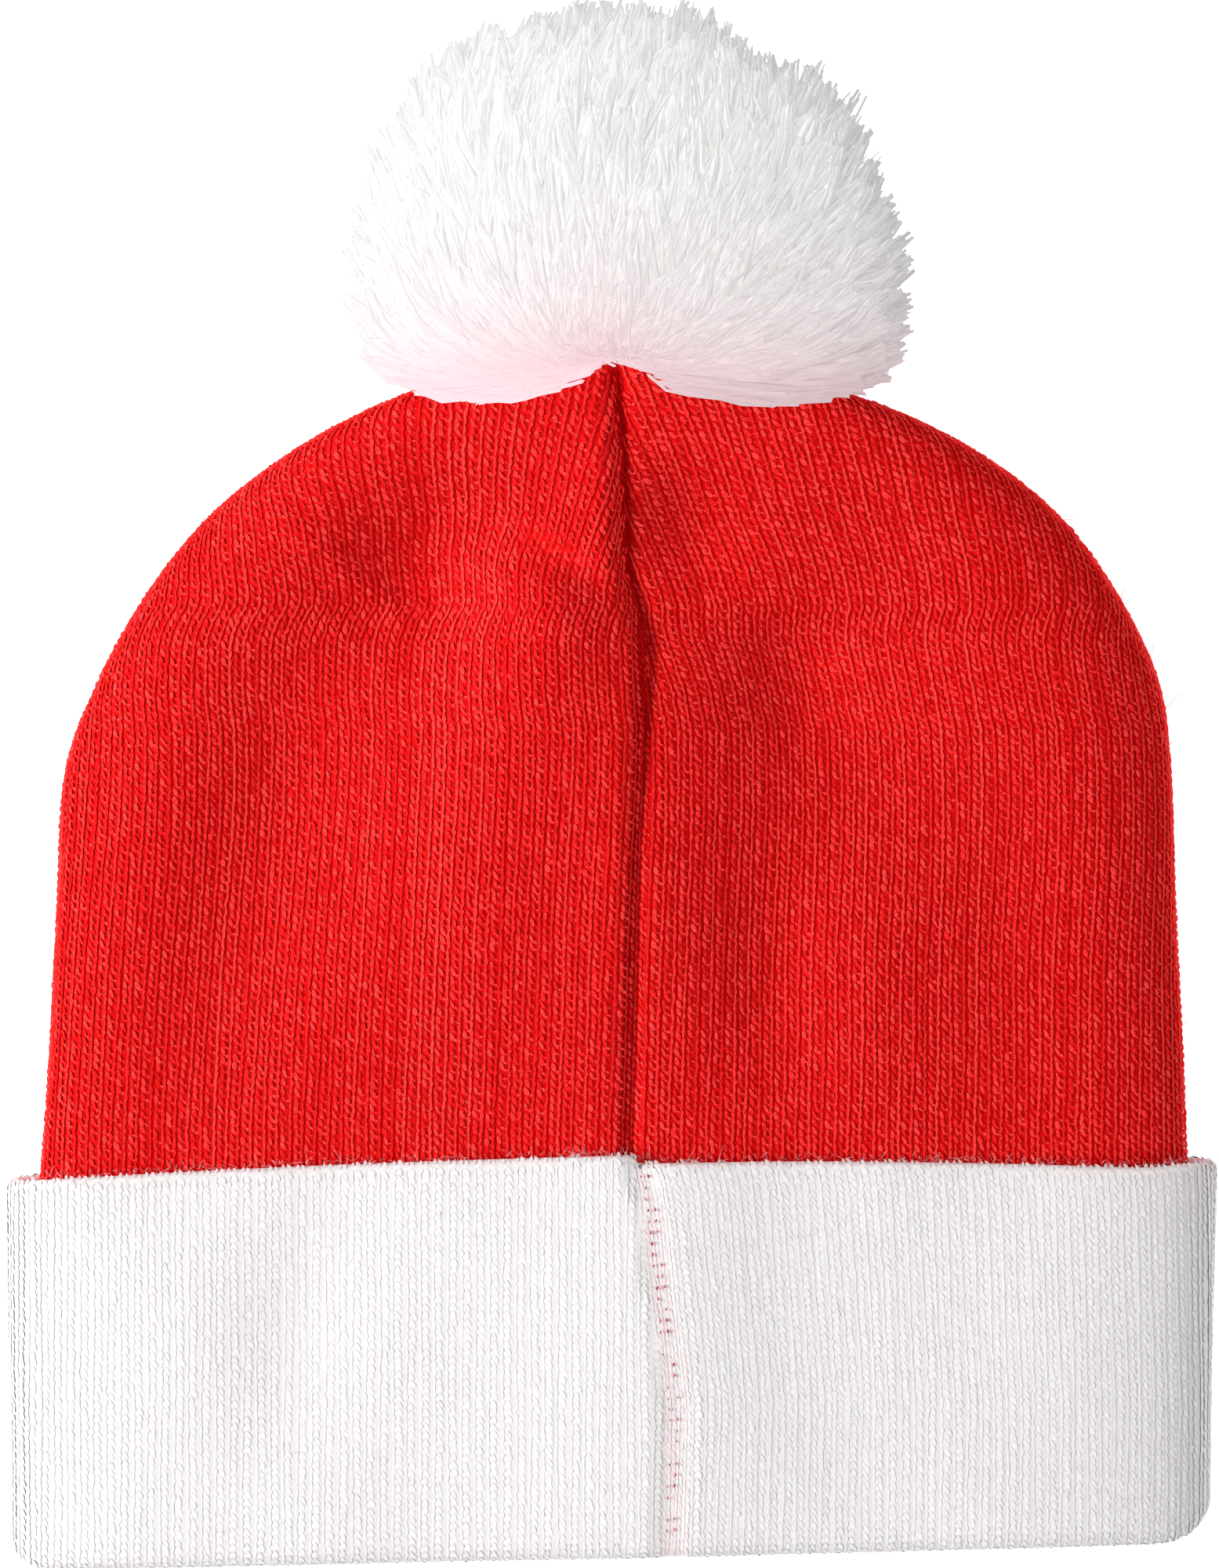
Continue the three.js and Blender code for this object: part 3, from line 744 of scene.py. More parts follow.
# Width of one side of a strand, for its fibres, and how much the strands' tints differ
SIDE_WIDTH = 0.45
TINTS = 0.5
FINE_STEP = 0.3
LEAST_HEIGHT = 1.15
LEAST_WALE = 3
# Stitches lower than this close up, with no holes to bridge
LEAST_BRIDGED = 0.6


def add_wale(strands, sheet, arc_of, rows, gauge, rng, squeeze=np.ones_like, least_arc=0.0, painted_shade=0.0):
    """Stitches along one wale whose arc is arc_of(row), with courses at an even pitch along the surface."""
    wale, course, high = gauge
    look = (course, high, painted_shade)
    fine = np.linspace(rows[0], rows[1], max(int(abs(rows[1] - rows[0]) / FINE_STEP), 2))
    length = lengths_along(sheet.place(arc_of(fine), fine))
    marks = np.arange(rng.uniform(0, 0.5) * course, length[-1], course)
    if len(marks) < LEAST_WALE:
        return
    v = np.interp(marks, length, fine)
    arc = arc_of(v)
    centre = sheet.place(arc, v)
    normal = sheet.normal(arc, v)
    tangent = unit(np.gradient(centre, axis=0))
    across = unit(np.cross(tangent, normal))
    wide = wale * squeeze(v)
    keep = (centre[:, 2] > LEAST_HEIGHT) & (arc < sheet.end(v) - 0.5) & (arc >= least_arc)
    for run in np.split(np.arange(len(v)), np.flatnonzero(np.diff(keep)) + 1):
        if keep[run[0]] and len(run) >= LEAST_WALE:
            axes = [part[run] for part in (centre, across, normal, tangent)]
            add_cord(strands, axes, wide[run], look, rng)
            add_legs(strands, axes, wide[run], look, rng)
            if high > LEAST_BRIDGED:
                add_bridges(strands, axes, wide[run], look, rng)


def three_sides(middle, up, side):
    """A ring of three points: a ridge above and two feet beside it."""
    return np.stack([middle + up, middle + side - GRAIN_BASE * up, middle - side - GRAIN_BASE * up], 1)


def add_stitches(strands, rings, ends, along, tint, facing, rng):
    """Adds strands that differ in tint at random, darkened by painted shade where that is given, each with
    its own fibres.
    """
    painted_shade, spread = tint
    n = len(rings)
    tint = painted_shade + rng.uniform(-spread, spread, n)
    strands.add(rings, ends, along, SIDE_WIDTH, tint, rng.uniform(0, KEYS, n), facing)


def add_cord(strands, axes, wide, look, rng):
    """The steep cord of one wale: a chain of legs, each rising from under the one below it."""
    centre, across, normal, tangent = axes
    course, high, painted_shade = look
    n = len(centre)
    rings = []
    for form in CORD:
        x = (form["x"] + CORD_SPREAD["x"] * rng.standard_normal(n)) * wide
        y = form["along"] * course + CORD_SPREAD["along"] * rng.standard_normal(n)
        lift = high * (form["lift"] + LIFT_SPREAD * rng.standard_normal(n))
        size = uneven(CORD_SPREAD["size"], n, rng) * (wide / CROWN_WALE) ** 0.5
        middle = centre + across * x[:, None] + tangent * y[:, None] + normal * lift[:, None]
        up = normal * (high * form["thick"] * size)[:, None]
        rings.append(three_sides(middle, up, across * (form["wide"] * size)[:, None]))
    chain = np.stack(rings, 1).reshape(2 * n, 3, 3)
    ends = np.stack([chain[0].mean(0) - tangent[0] * 0.5, chain[-1].mean(0) + tangent[-1] * 0.5])
    along = np.arange(2 * n) * course / 2
    facing = np.repeat(normal, 2, 0)
    add_stitches(strands, chain[None], ends[None], along[None], (painted_shade, TINTS), facing[None], rng)


def add_legs(strands, axes, wide, look, rng):
    """One slanting leg at each stitch, its top under the cord and its foot sunk beside the next leg."""
    centre, across, normal, tangent = axes
    course, high, painted_shade = look
    n = len(centre)
    jitter = rng.standard_normal((4, n, 1))
    x = LEG_TOP[0] + (LEG_FOOT[0] - LEG_TOP[0]) * LEG_SHARES + LEG_SPREAD["x"] * jitter[0]
    x = (x + LEG_SPREAD["turn"] * jitter[1] * (LEG_SHARES - 0.5)) * wide[:, None]
    y = (LEG_TOP[1] + (LEG_FOOT[1] - LEG_TOP[1]) * LEG_SHARES) * course + LEG_SPREAD["along"] * jitter[2]
    lift = high * (LEG_LIFT + LIFT_SPREAD * jitter[3])
    path = centre[:, None] + across[:, None] * x[..., None]
    path = path + tangent[:, None] * y[..., None] + normal[:, None] * lift[..., None]
    axis = unit(path[:, 2] - path[:, 1])
    side = unit(np.cross(axis, normal))
    size = uneven(LEG_SPREAD["size"], (2, n, 1), rng) * (wide / CROWN_WALE)[:, None] ** 0.5
    up = np.cross(side, axis) * high * LEG_THICK * size[0]
    rings = np.stack([three_sides(path[:, k], up, side * LEG_WIDE * size[1]) for k in (1, 2)], 1)
    along = np.array(((-0.4, 0.4),)) + np.zeros((n, 1))
    facing = np.repeat(normal[:, None], 2, 1)
    add_stitches(strands, rings, path[:, (0, 3)], along, (painted_shade, TINTS), facing, rng)


def add_bridges(strands, axes, wide, look, rng):
    """A low strand at each stitch from its leg's foot to the next cord. The knit's holes lie between them."""
    centre, across, normal, tangent = axes
    course, high, painted_shade = look
    n = len(centre)
    x = (BRIDGE["x"] + BRIDGE_SPREAD["x"] * rng.standard_normal(n)) * wide
    y = BRIDGE["along"] * course + BRIDGE_SPREAD["along"] * rng.standard_normal(n)
    lift = high * (BRIDGE["lift"] + LIFT_SPREAD * rng.standard_normal(n))
    slant = np.radians(BRIDGE["slant"] + BRIDGE_SPREAD["slant"] * rng.standard_normal(n))[:, None]
    middle = centre + across * x[:, None] + tangent * y[:, None] + normal * lift[:, None]
    axis = np.cos(slant) * tangent - np.sin(slant) * across
    side = unit(np.cross(axis, normal))
    size = uneven(BRIDGE_SPREAD["size"], (n, 1), rng, 0.5)
    ring = three_sides(middle, normal * high * BRIDGE["thick"] * size, side * BRIDGE["wide"] * size)
    ends = np.stack([middle - axis * BRIDGE["long"], middle + axis * BRIDGE["long"]], 1)
    add_stitches(strands, ring[:, None], ends, np.zeros((n, 1)), (painted_shade, 2 * TINTS), normal[:, None], rng)


# The crown's knit: wales run up from the cuff, and lean into the back dart

CROWN_ROWS = (-70.5, 75.0)
CROWN_ROW_STEP = 0.7
CROWN_REACH = 134.0
# How the wales of each side lean into the dart: where that grows, how steep, how far out and how it fades
DART_LEFT = {"start": 26.0, "full": 48.0, "steep": 0.60, "spread": 64.0, "power": 1.15}
DART_RIGHT = {"start": 9.0, "full": 34.0, "steep": 0.43, "spread": 88.0, "power": 0.9}
DART_STEP = 0.5
DART_HEIGHTS = np.arange(-150.0, 90.0, DART_STEP)
# The dart takes wales in from this far below its start
DART_EARLY = 8
# The line from which the wales are counted: y and x
REFERENCE = np.array([(-140, 3.0), (-60, 3.2), (10, 5.4), (40, 4.0), (70, 2.0), (80, 1.0)])
# At the seam: how near whole wales come to it, and the narrow wale that follows each edge of it, whose yarn
# is painted darker: painted shade in the seam's groove
SEAM_MARGIN = 1.0
SEAM_EDGE, SEAM_EDGE_WALE, SEAM_EDGE_TOP = 0.75, 1.7, 73.0
SEAM_PAINTED_SHADE = -1.9
# Wales wander a little to both sides along their length
WANDER, CROWN_WANDER_LENGTH, CUFF_WANDER_LENGTH = 0.12, 9, 8


def reference_x(y):
    return np.interp(y, REFERENCE[:, 0], REFERENCE[:, 1])


def seam_arc(y, side):
    """How far out from the reference line the seam lies."""
    return side * (seam_at(np.maximum(y, CROWN_SEAM_FOOT))[0] - reference_x(y))


def dart_take(y, dart):
    """How far the dart has drawn the fabric in at each y."""
    lean = dart["steep"] * smooth_step(dart["start"], dart["full"], DART_HEIGHTS)
    return np.interp(y, DART_HEIGHTS, np.cumsum(lean) * DART_STEP)


def crown_sheet(side):
    rows = np.arange(CROWN_ROWS[0] - 1, CROWN_ROWS[1] + 1.2, CROWN_ROW_STEP)
    curves = []
    for y in rows:
        left, right, _, _ = tube_at(y)
        half = (right if side > 0 else left) - STITCH_DEPTH
        start = np.clip((reference_x(y) - side * KnitSheet.OVERLAP) / half, -0.35, 0.35)
        over, under = half_ring(side, start)
        upper = crown_point(over, np.full_like(over, y), STITCH_DEPTH, True)
        lower = crown_point(under, np.full_like(under, y), STITCH_DEPTH, False)
        curves.append(np.concatenate([upper, lower]))
    return KnitSheet(curves, rows, side, CROWN_REACH, reference_x(rows))


def wale_rows(arc_of, side, dart):
    """From where to where a wale of the crown runs, or None: the seam and the dart cut it short."""
    fine = np.arange(*CROWN_ROWS, FINE_STEP)
    edge = seam_arc(fine, side) + SEAM_MARGIN
    starts = np.flatnonzero(arc_of(fine) >= edge)
    if len(starts) == 0:
        return None
    gone = np.flatnonzero((arc_of(fine) < edge) & (fine > dart["start"] - DART_EARLY))
    return fine[starts[0]], fine[gone[0]] if len(gone) else CROWN_ROWS[1]


def build_crown_stitches(side, name, seed):
    rng = np.random.default_rng(seed)
    sheet = crown_sheet(side)
    dart = DART_RIGHT if side > 0 else DART_LEFT
    strands = Strands(RED_SOFTNESS)
    gauge = (CROWN_WALE, CROWN_COURSE, RED_HEIGHT)
    for i in range(-2, int(CROWN_REACH / CROWN_WALE)):
        home = (i + 0.5) * CROWN_WALE
        left = np.clip(1 - home / dart["spread"], 0, 1)
        phase = rng.uniform(0, PHASE)

        def arc_of(y):
            drawn = dart_take(y, dart) * left ** dart["power"]
            return home - drawn + WANDER * np.sin(y / CROWN_WANDER_LENGTH + phase)

        def squeeze(y):
            return 1 + dart_take(y, dart) * dart["power"] / dart["spread"] * (left > 0)

        rows = wale_rows(arc_of, side, dart)
        if rows:
            add_wale(strands, sheet, arc_of, rows, gauge, rng, squeeze, -KnitSheet.OVERLAP)
    # The wale beside each edge of the seam is painted darker: painted shade in the seam's groove
    gauge = (SEAM_EDGE_WALE, CROWN_COURSE, RED_HEIGHT)
    rows = (CROWN_ROWS[0], SEAM_EDGE_TOP)
    add_wale(strands, sheet, lambda y: seam_arc(y, side) + SEAM_EDGE, rows, gauge, rng,
             least_arc=-KnitSheet.OVERLAP, painted_shade=SEAM_PAINTED_SHADE)
    strands.piece(name, red_yarn, "red_knit")


# The cuff's knit: wales run from the inner leg round the fold, up the outer leg and on to the free edge

CUFF_REACH = 146.0
CUFF_KNIT_START, CUFF_KNIT_SHORT = 18, 2.4
# The seam's strip on each side of it, and how far the wales beside it may reach into it
STRIP_LEFT, STRIP_RIGHT, STRIP_OVERLAP = 2.6, 3.0, 1.0
# Near the seam the right panel's wales lean along it, and farther out they stand upright
CUFF_LEAN_REACH = 60
SEAM_HOME = 7.0
# Pink painted on the cuff's free edge, partly as reflection of the red crown and partly for red fibres: how
# much, and how far down it fades
RIM_RED_BOUNCE_AND_FUZZ, RIM_RED_BOUNCE_AND_FUZZ_REACH = 0.6, 2.0
# The strip's narrow wales and its threads: the sheet they lie on, left 0 or right 1, and arc from the seam
STRIP_WALE = 1.5
STRIP_WALES = [(0, 1.7), (0, 0.35), (1, 1.0), (1, 2.3)]
STRIP_WALE_START, STRIP_WALE_SHORT = 26, 1.5
THREADS = [(0, 0.95), (1, 0.35)]
THREAD_START, THREAD_SHORT = 30, 4
THREAD_SHOWS = 0.62
THREAD_LIFT, THREAD_SIZE = (0.35, 0.75), (0.13, 0.24)


def cuff_sheet(side):
    profile = outer_profile(16)
    middle = cuff_point(np.zeros(len(profile)), *profile.T, True)
    curves, seam_x = [], []
    for place in profile:
        seam_x.append(cuff_seam_x(place[0]))
        over, under = half_ring(side, seam_x[-1] / CUFF_HALF_WIDTH)
        halves = [cuff_ring_point(place, over, True), cuff_ring_point(place, under, False)]
        curves.append(np.concatenate(halves))
    sheet = KnitSheet(curves, lengths_along(middle), side, CUFF_REACH)
    sheet.seam_x = np.array(seam_x)
    return sheet


def rim_red_bounce_and_fuzz(points):
    """Pink on the cuff's free edge, next to the crown: partly painted reflection of the red crown and partly
    red fibres.
    """
    below = free_edge(points[:, 0]) - points[:, 1]
    return RIM_RED_BOUNCE_AND_FUZZ * fade(np.maximum(below, 0), RIM_RED_BOUNCE_AND_FUZZ_REACH)


def build_cuff_stitches(side, name, seed):
    rng = np.random.default_rng(seed)
    sheet = cuff_sheet(side)
    rows = (sheet.rows[0] + CUFF_KNIT_START, sheet.rows[-1] - CUFF_KNIT_SHORT)
    strands = Strands(WHITE_SOFTNESS)
    start = STRIP_RIGHT if side > 0 else STRIP_LEFT
    gauge = (CUFF_WALE, CUFF_COURSE, WHITE_HEIGHT)
    for i in range(-4, int((CUFF_REACH - start) / CUFF_WALE)):
        home = start + (i + 0.5) * CUFF_WALE
        lean = math.exp(-max(home, 0) / CUFF_LEAN_REACH) if side > 0 else 0
        phase = rng.uniform(0, PHASE)

        def arc_of(v):
            shift = (np.interp(v, sheet.rows, sheet.seam_x) - SEAM_HOME) * (1 - lean)
            return home - side * shift + WANDER * np.sin(v / CUFF_WANDER_LENGTH + phase)

        add_wale(strands, sheet, arc_of, rows, gauge, rng, least_arc=start - STRIP_OVERLAP)
    strands.piece(name, white_yarn, "white_knit", rim_red_bounce_and_fuzz)
    return sheet


def build_cuff_seam(sheets):
    """The sunken strip at the cuff's seam: narrow wales, with the red sewing thread in the grooves."""
    rng = np.random.default_rng(SEED + 5)
    wales, thread = Strands(WHITE_SOFTNESS), Strands()
    gauge = (STRIP_WALE, CUFF_COURSE, WHITE_HEIGHT)
    for i, home in STRIP_WALES:
        rows = (sheets[i].rows[0] + STRIP_WALE_START, sheets[i].rows[-1] - STRIP_WALE_SHORT)
        add_wale(wales, sheets[i], lambda v: home + 0.1 * np.sin(v / 7 + home), rows, gauge, rng)
    for i, home in THREADS:
        rows = sheets[i].rows
        marks = np.arange(rows[0] + THREAD_START, rows[-1] - THREAD_SHORT, CUFF_COURSE * 1.5)
        marks = marks[rng.random(len(marks)) < THREAD_SHOWS] + rng.uniform(-0.4, 0.4)
        arc = home + 0.12 * rng.standard_normal(len(marks))
        normal = sheets[i].normal(arc, marks)
        lift = rng.uniform(*THREAD_LIFT, len(marks))[:, None]
        add_specks(thread, sheets[i].place(arc, marks) + normal * lift, normal, rng)
    wales.piece("cuff_seam_wales", seam_yarn, "white_knit")
    thread.piece("cuff_seam_thread", seam_thread, "red_knit")


def add_specks(strands, place, normal, rng):
    """Short bits of thread that show between the stitches."""
    n = len(place)
    axis = unit(np.stack([rng.uniform(-0.5, 0.5, n), np.ones(n), np.zeros(n)], -1))
    side = unit(np.cross(axis, normal))
    up = np.cross(side, axis)
    size = rng.uniform(*THREAD_SIZE, n)[:, None]
    ring = np.stack([place + up * size, place + side * size, place - up * size, place - side * size], 1)
    ends = np.stack([place - axis * size * 2, place + axis * size * 2], 1)
    strands.add(ring[:, None], ends, np.zeros((n, 1)), 0.5, rng.uniform(-1, 1, n), rng.uniform(0, KEYS, n))


# The pompom: cut strands of yarn, combed over its round form away from the tie at the crown's tip

STRANDS = 14000
STRAND_RINGS, STRAND_SIDES = 5, 3
STRAND_LENGTH, STRAND_SIZE = (11, 23), (0.29, 0.46)
# Length over which a strand's three sides turn by one, and width of a side for its fibres
STRAND_TWIST, STRAND_SIDE_WIDTH = 40.0, 1.5
POINTED_SHARE = 0.3
POINTED_END, BLUNT_END = (0.95, 0.80, 0.50), (1.06, 1.15, 0.95)
POINTED_TIP, BLUNT_TIP = 1.5, 0.4
CLUMPS, CLUMPING = 900, 0.6
# Spread of the combing, in degrees: slow over the pompom and from strand to strand
COMB_SLOW, COMB_WAVE, COMB_OWN = 14, 36, 8
# Depth of the outer layer of ends, as a share of the reach: from strand to strand and from clump to clump
LAYER, CLUMP_LAYER = 0.045, 0.012
CURL, CURLS = 0.55, 9
# How far strands sink below the envelope behind their ends and flick out at them, as shares of the reach
SINK = {"all": 0.04, "right": 0.10, "rim": 0.16, "slow": 0.015}
FLICK = {"all": 0.01, "right": 0.02, "rim": 0.05}
SINK_WAVE = 30
# The right half starts and is reached at these x from the root. Its strands are shorter by this share
RIGHT_HALF, RIGHT_SHORTER = (-10, 32), 0.2
# Painted shade from a strand's root to its end: darker at the root and lighter at the cut end; and how much
# painted shade darkens it at the pompom's rim
STRAND_PAINTED_SHADE, RIM_PAINTED_SHADE = (-1.1, 0.6), 1.3
# Pink next to the crown, painted reflection of its red: all over, more on the left, where the left starts,
# and how far up it fades
POMPOM_RED_BOUNCE, LEFT_RED_BOUNCE, LEFT_HALF, RED_BOUNCE_REACH = 0.72, 0.25, (-30, 20), 10
# Jitter of the strands' ends, and the share of them kept below and added above
END_JITTER, LOWER_SHARE, UPPER_SHARE = 0.014, 0.45, 0.55
# How far the lower edge's tufts hang over the crown, and where beside the tie that starts
HANG, HANG_FROM = 4.6, (8, 20)
EDGE_GAP, CROWN_GAP = 2.6, (0.8, 2.6)
LEAST_STRAND_HEIGHT, LEAST_FIBRE_HEIGHT = 0.15, 0.05
CORE_SHARE, CORE_ROWS, CORE_COLUMNS = 0.90, 36, 60
CORE_EDGE_GAP, CORE_CROWN_GAP = 1.5, 1.2
# Loose yarn scatters light, so it's shaded as if it faced up more than it does
POMPOM_FACING = np.array((0.3, 0.0, 2.6))
TIE_AIM = unit(np.array((-0.16, -0.80, 0.58)))
DIMPLE_DEPTH, DIMPLE_WIDTH = 0.42, 0.5
# The pompom leans to the left as it goes up, and its lower edge arches over the crown's tip
POMPOM_LEAN = -0.075
ARCH_TOP, ARCH_DROP, ARCH_WIDE, ARCH_X = 75.0, 6.0, 14.0, -1.0
# Lobes of its outline: turn from the right and half width in degrees, and share of the reach that they add
POMPOM_LOBES = [
    (12, 14, 0.03), (40, 11, 0.06), (58, 5, -0.05), (74, 9, 0.012), (108, 7, -0.02), (150, 12, -0.02),
]


def arch_line(x):
    """The pompom's lower edge."""
    return ARCH_TOP - ARCH_DROP * (1 - fade(x - ARCH_X, ARCH_WIDE))


def under_arch(points, gap):
    """Shears the pompom to the left and keeps it off the crown below the arch of its lower edge."""
    x = points[..., 0] + POMPOM_LEAN * (points[..., 1] - POMPOM_ROOT[1])
    y = np.maximum(points[..., 1], arch_line(x) + gap)
    return np.stack([x, y, points[..., 2]], -1)


def lobes(direction):
    x, y, z = np.moveaxis(direction, -1, 0)
    turn = np.degrees(np.arctan2(y, x))
    total = 0
    for middle, wide, share in POMPOM_LOBES:
        total = total + share * bell(turn - middle, wide)
    return total * (1 - np.abs(z)) ** 0.7


def pompom_reach(direction):
    """Distance from the root to the envelope: round, squarer towards the crown, with a dimple at the tie."""
    x, y, z = np.moveaxis(direction, -1, 0)
    across = np.abs(x) / POMPOM_SIDE
    along = np.abs(y) / np.where(y > 0, POMPOM_FAR, POMPOM_NEAR)
    high = np.abs(z) / np.where(z > 0, POMPOM_UP, POMPOM_DOWN)
    square = np.where(y > 0, POMPOM_SQUARENESS, NEAR_SQUARENESS)
    flat = (across**square + along**square) ** (1 / square)
    reach = (flat**POMPOM_SQUARENESS + high**POMPOM_SQUARENESS) ** (-1 / POMPOM_SQUARENESS)
    return reach * (1 - DIMPLE_DEPTH * bell(from_tie(direction), DIMPLE_WIDTH)) * (1 + lobes(direction))


def from_tie(direction):
    """Angle between each direction and the tie."""
    return np.arccos(np.clip(direction @ TIE_AIM, -1, 1))


def even_directions(count, rng):
    """Directions whose ends are spread evenly over the envelope, fewer of them below."""
    i = np.arange(count) + 0.5
    height = 1 - 2 * i / count
    turn = i * math.pi * (3 - math.sqrt(5))
    across = np.sqrt(1 - height**2)
    spot = np.stack([across * np.cos(turn), height, across * np.sin(turn)], -1)
    spot = spot + END_JITTER * rng.standard_normal((count, 3))
    x, y, z = spot.T
    spot = np.stack([x * POMPOM_SIDE, y * np.where(y > 0, POMPOM_FAR, POMPOM_NEAR),
                     z * np.where(z > 0, POMPOM_UP, POMPOM_DOWN)], -1)
    kept = LOWER_SHARE + UPPER_SHARE * smooth_step(-0.8, -0.2, z)
    return unit(spot)[rng.random(count) < kept]


def clear_of_crown(points, gap):
    """Moves points that lie in the crown or under the floor to just outside."""
    x, y, z = points[..., 0], points[..., 1], points[..., 2]
    near_y = np.minimum(y, TUBE[-1, 0])
    left, right, top, base = tube_at(near_y)
    half = np.where(x < 0, left, right)
    s = np.clip(x / half, -1, 1)
    above = face_height(s, x, near_y, top, base, True, True)
    below = face_height(s, x, near_y, top, base, False, True)
    middle = (above + below) / 2
    inside = (y < TUBE[-1, 0] + gap) & (np.abs(x) < half) & (z < above + gap) & (z > below - gap)
    z = np.where(inside, np.where(z > middle, above + gap, np.minimum(z, below - gap)), z)
    return np.stack([x, y, np.maximum(z, gap)], -1)


def pompom_rim(direction):
    """1 at the pompom's widest line and 0 on its upper and lower faces."""
    return (1 - smooth_step(0.1, 0.5, np.abs(direction[:, 2]))) * smooth_step(-0.5, 0.0, direction[:, 1])


def combed(direction, reach, right, slow, back, rng):
    """Headings from the root to places back along each strand, from its cut end towards the tie."""
    n = len(direction)
    toward = unit(TIE_AIM - direction * (direction @ TIE_AIM)[:, None])
    turn = np.radians(COMB_SLOW * slow + COMB_OWN * rng.standard_normal(n))[:, None]
    toward = toward * np.cos(turn) + np.cross(direction, toward) * np.sin(turn)
    length = rng.uniform(*STRAND_LENGTH, n) * (1 - RIGHT_SHORTER * right)
    angle = np.minimum(length / reach, 0.9 * from_tie(direction))[:, None, None] * back
    return direction[:, None] * np.cos(angle) + toward[:, None] * np.sin(angle)


def strand_paths(direction, rng):
    """Paths out to the cut ends, each lying along the envelope and combed away from the tie."""
    n = len(direction)
    centres = direction[rng.choice(n, CLUMPS, replace=False)]
    clump = np.argmax(direction @ centres.T, axis=1)
    reach = pompom_reach(direction)
    end_x, end_y = (direction * reach[:, None]).T[:2]
    right = smooth_step(*RIGHT_HALF, end_x)
    rim = pompom_rim(direction)
    back = np.linspace(1, 0, STRAND_RINGS)[None, :, None]
    heading = combed(direction, reach, right, ripple(end_x, end_y, COMB_WAVE, 9), back, rng)
    gather = CLUMPING * (centres[clump] - direction)
    heading = unit(heading + gather[:, None] * (1 - back) ** 2)
    layer = 1 - LAYER * rng.random(n) + CLUMP_LAYER * rng.standard_normal(CLUMPS)[clump]
    sink = SINK["all"] + SINK["right"] * right + SINK["rim"] * rim
    sink = sink + SINK["slow"] * ripple(end_x, end_y, SINK_WAVE, 8)
    tuft = rng.random(CLUMPS)[clump] ** 2
    flick = (FLICK["all"] + FLICK["right"] * right + FLICK["rim"] * rim * tuft) * rng.random(n)
    share = layer[:, None] - sink[:, None] * back[..., 0] ** 1.2 + flick[:, None] * (1 - back[..., 0]) ** 5
    path = POMPOM_ROOT + heading * (pompom_reach(heading) * share)[..., None]
    phase = rng.uniform(0, PHASE, (n, 1, 1))
    path = path + CURL * np.sin(back * CURLS + phase) * unit(rng.standard_normal((n, 1, 3)))
    hang = HANG * tuft * smooth_step(*HANG_FROM, np.abs(end_x))
    path = under_arch(path, EDGE_GAP - EDGE_GAP * rng.random((n, 1)) - hang[:, None])
    return clear_of_crown(path, rng.uniform(*CROWN_GAP, (n, 1)))


def pompom_facing(points):
    """Which way the pompom's surface is shaded as facing."""
    outward = unit((points - POMPOM_ROOT) / np.array((POMPOM_SIDE, POMPOM_FAR, POMPOM_UP)) ** 2)
    return unit(outward + POMPOM_FACING)


def pompom_red_bounce(points):
    """Pink on the strands next to the crown: painted reflection of the crown's red."""
    above = points[:, 1] - arch_line(points[:, 0])
    left = 1 - smooth_step(*LEFT_HALF, points[:, 0])
    return (POMPOM_RED_BOUNCE + LEFT_RED_BOUNCE * left) * fade(np.maximum(above, 0), RED_BOUNCE_REACH)


def strand_forms(path, tangent, along, rng):
    """Rings and end points of the cut strands: some end in a point, and the others swell at the cut."""
    n = len(path)
    chord = unit(path[:, -1:] - path[:, :1])
    helper = rng.standard_normal((n, 1, 3))
    helper = helper - chord * (helper * chord).sum(-1, keepdims=True)
    u = unit(np.cross(tangent, helper))
    w = np.cross(tangent, u)
    twist = along / STRAND_TWIST * 2 * math.pi / STRAND_SIDES + rng.uniform(0, PHASE, (n, 1))
    size = rng.uniform(*STRAND_SIZE, (n, 1))
    pointed = rng.random((n, 1)) < POINTED_SHARE
    swell = np.ones((n, STRAND_RINGS))
    swell[:, -3:] = np.where(pointed, POINTED_END, BLUNT_END)
    angle = twist[..., None] + np.arange(STRAND_SIDES) * (2 * math.pi / STRAND_SIDES)
    radial = np.cos(angle)[..., None] * u[:, :, None] + np.sin(angle)[..., None] * w[:, :, None]
    rings = path[:, :, None] + radial * (size * swell)[..., None, None]
    tip = np.where(pointed, POINTED_TIP, BLUNT_TIP) * size
    ends = np.stack([path[:, 0] - tangent[:, 0] * 0.5, path[:, -1] + tangent[:, -1] * tip], 1)
    for points in (rings, ends):
        points[..., 2] = np.maximum(points[..., 2], LEAST_STRAND_HEIGHT)
    return rings, ends


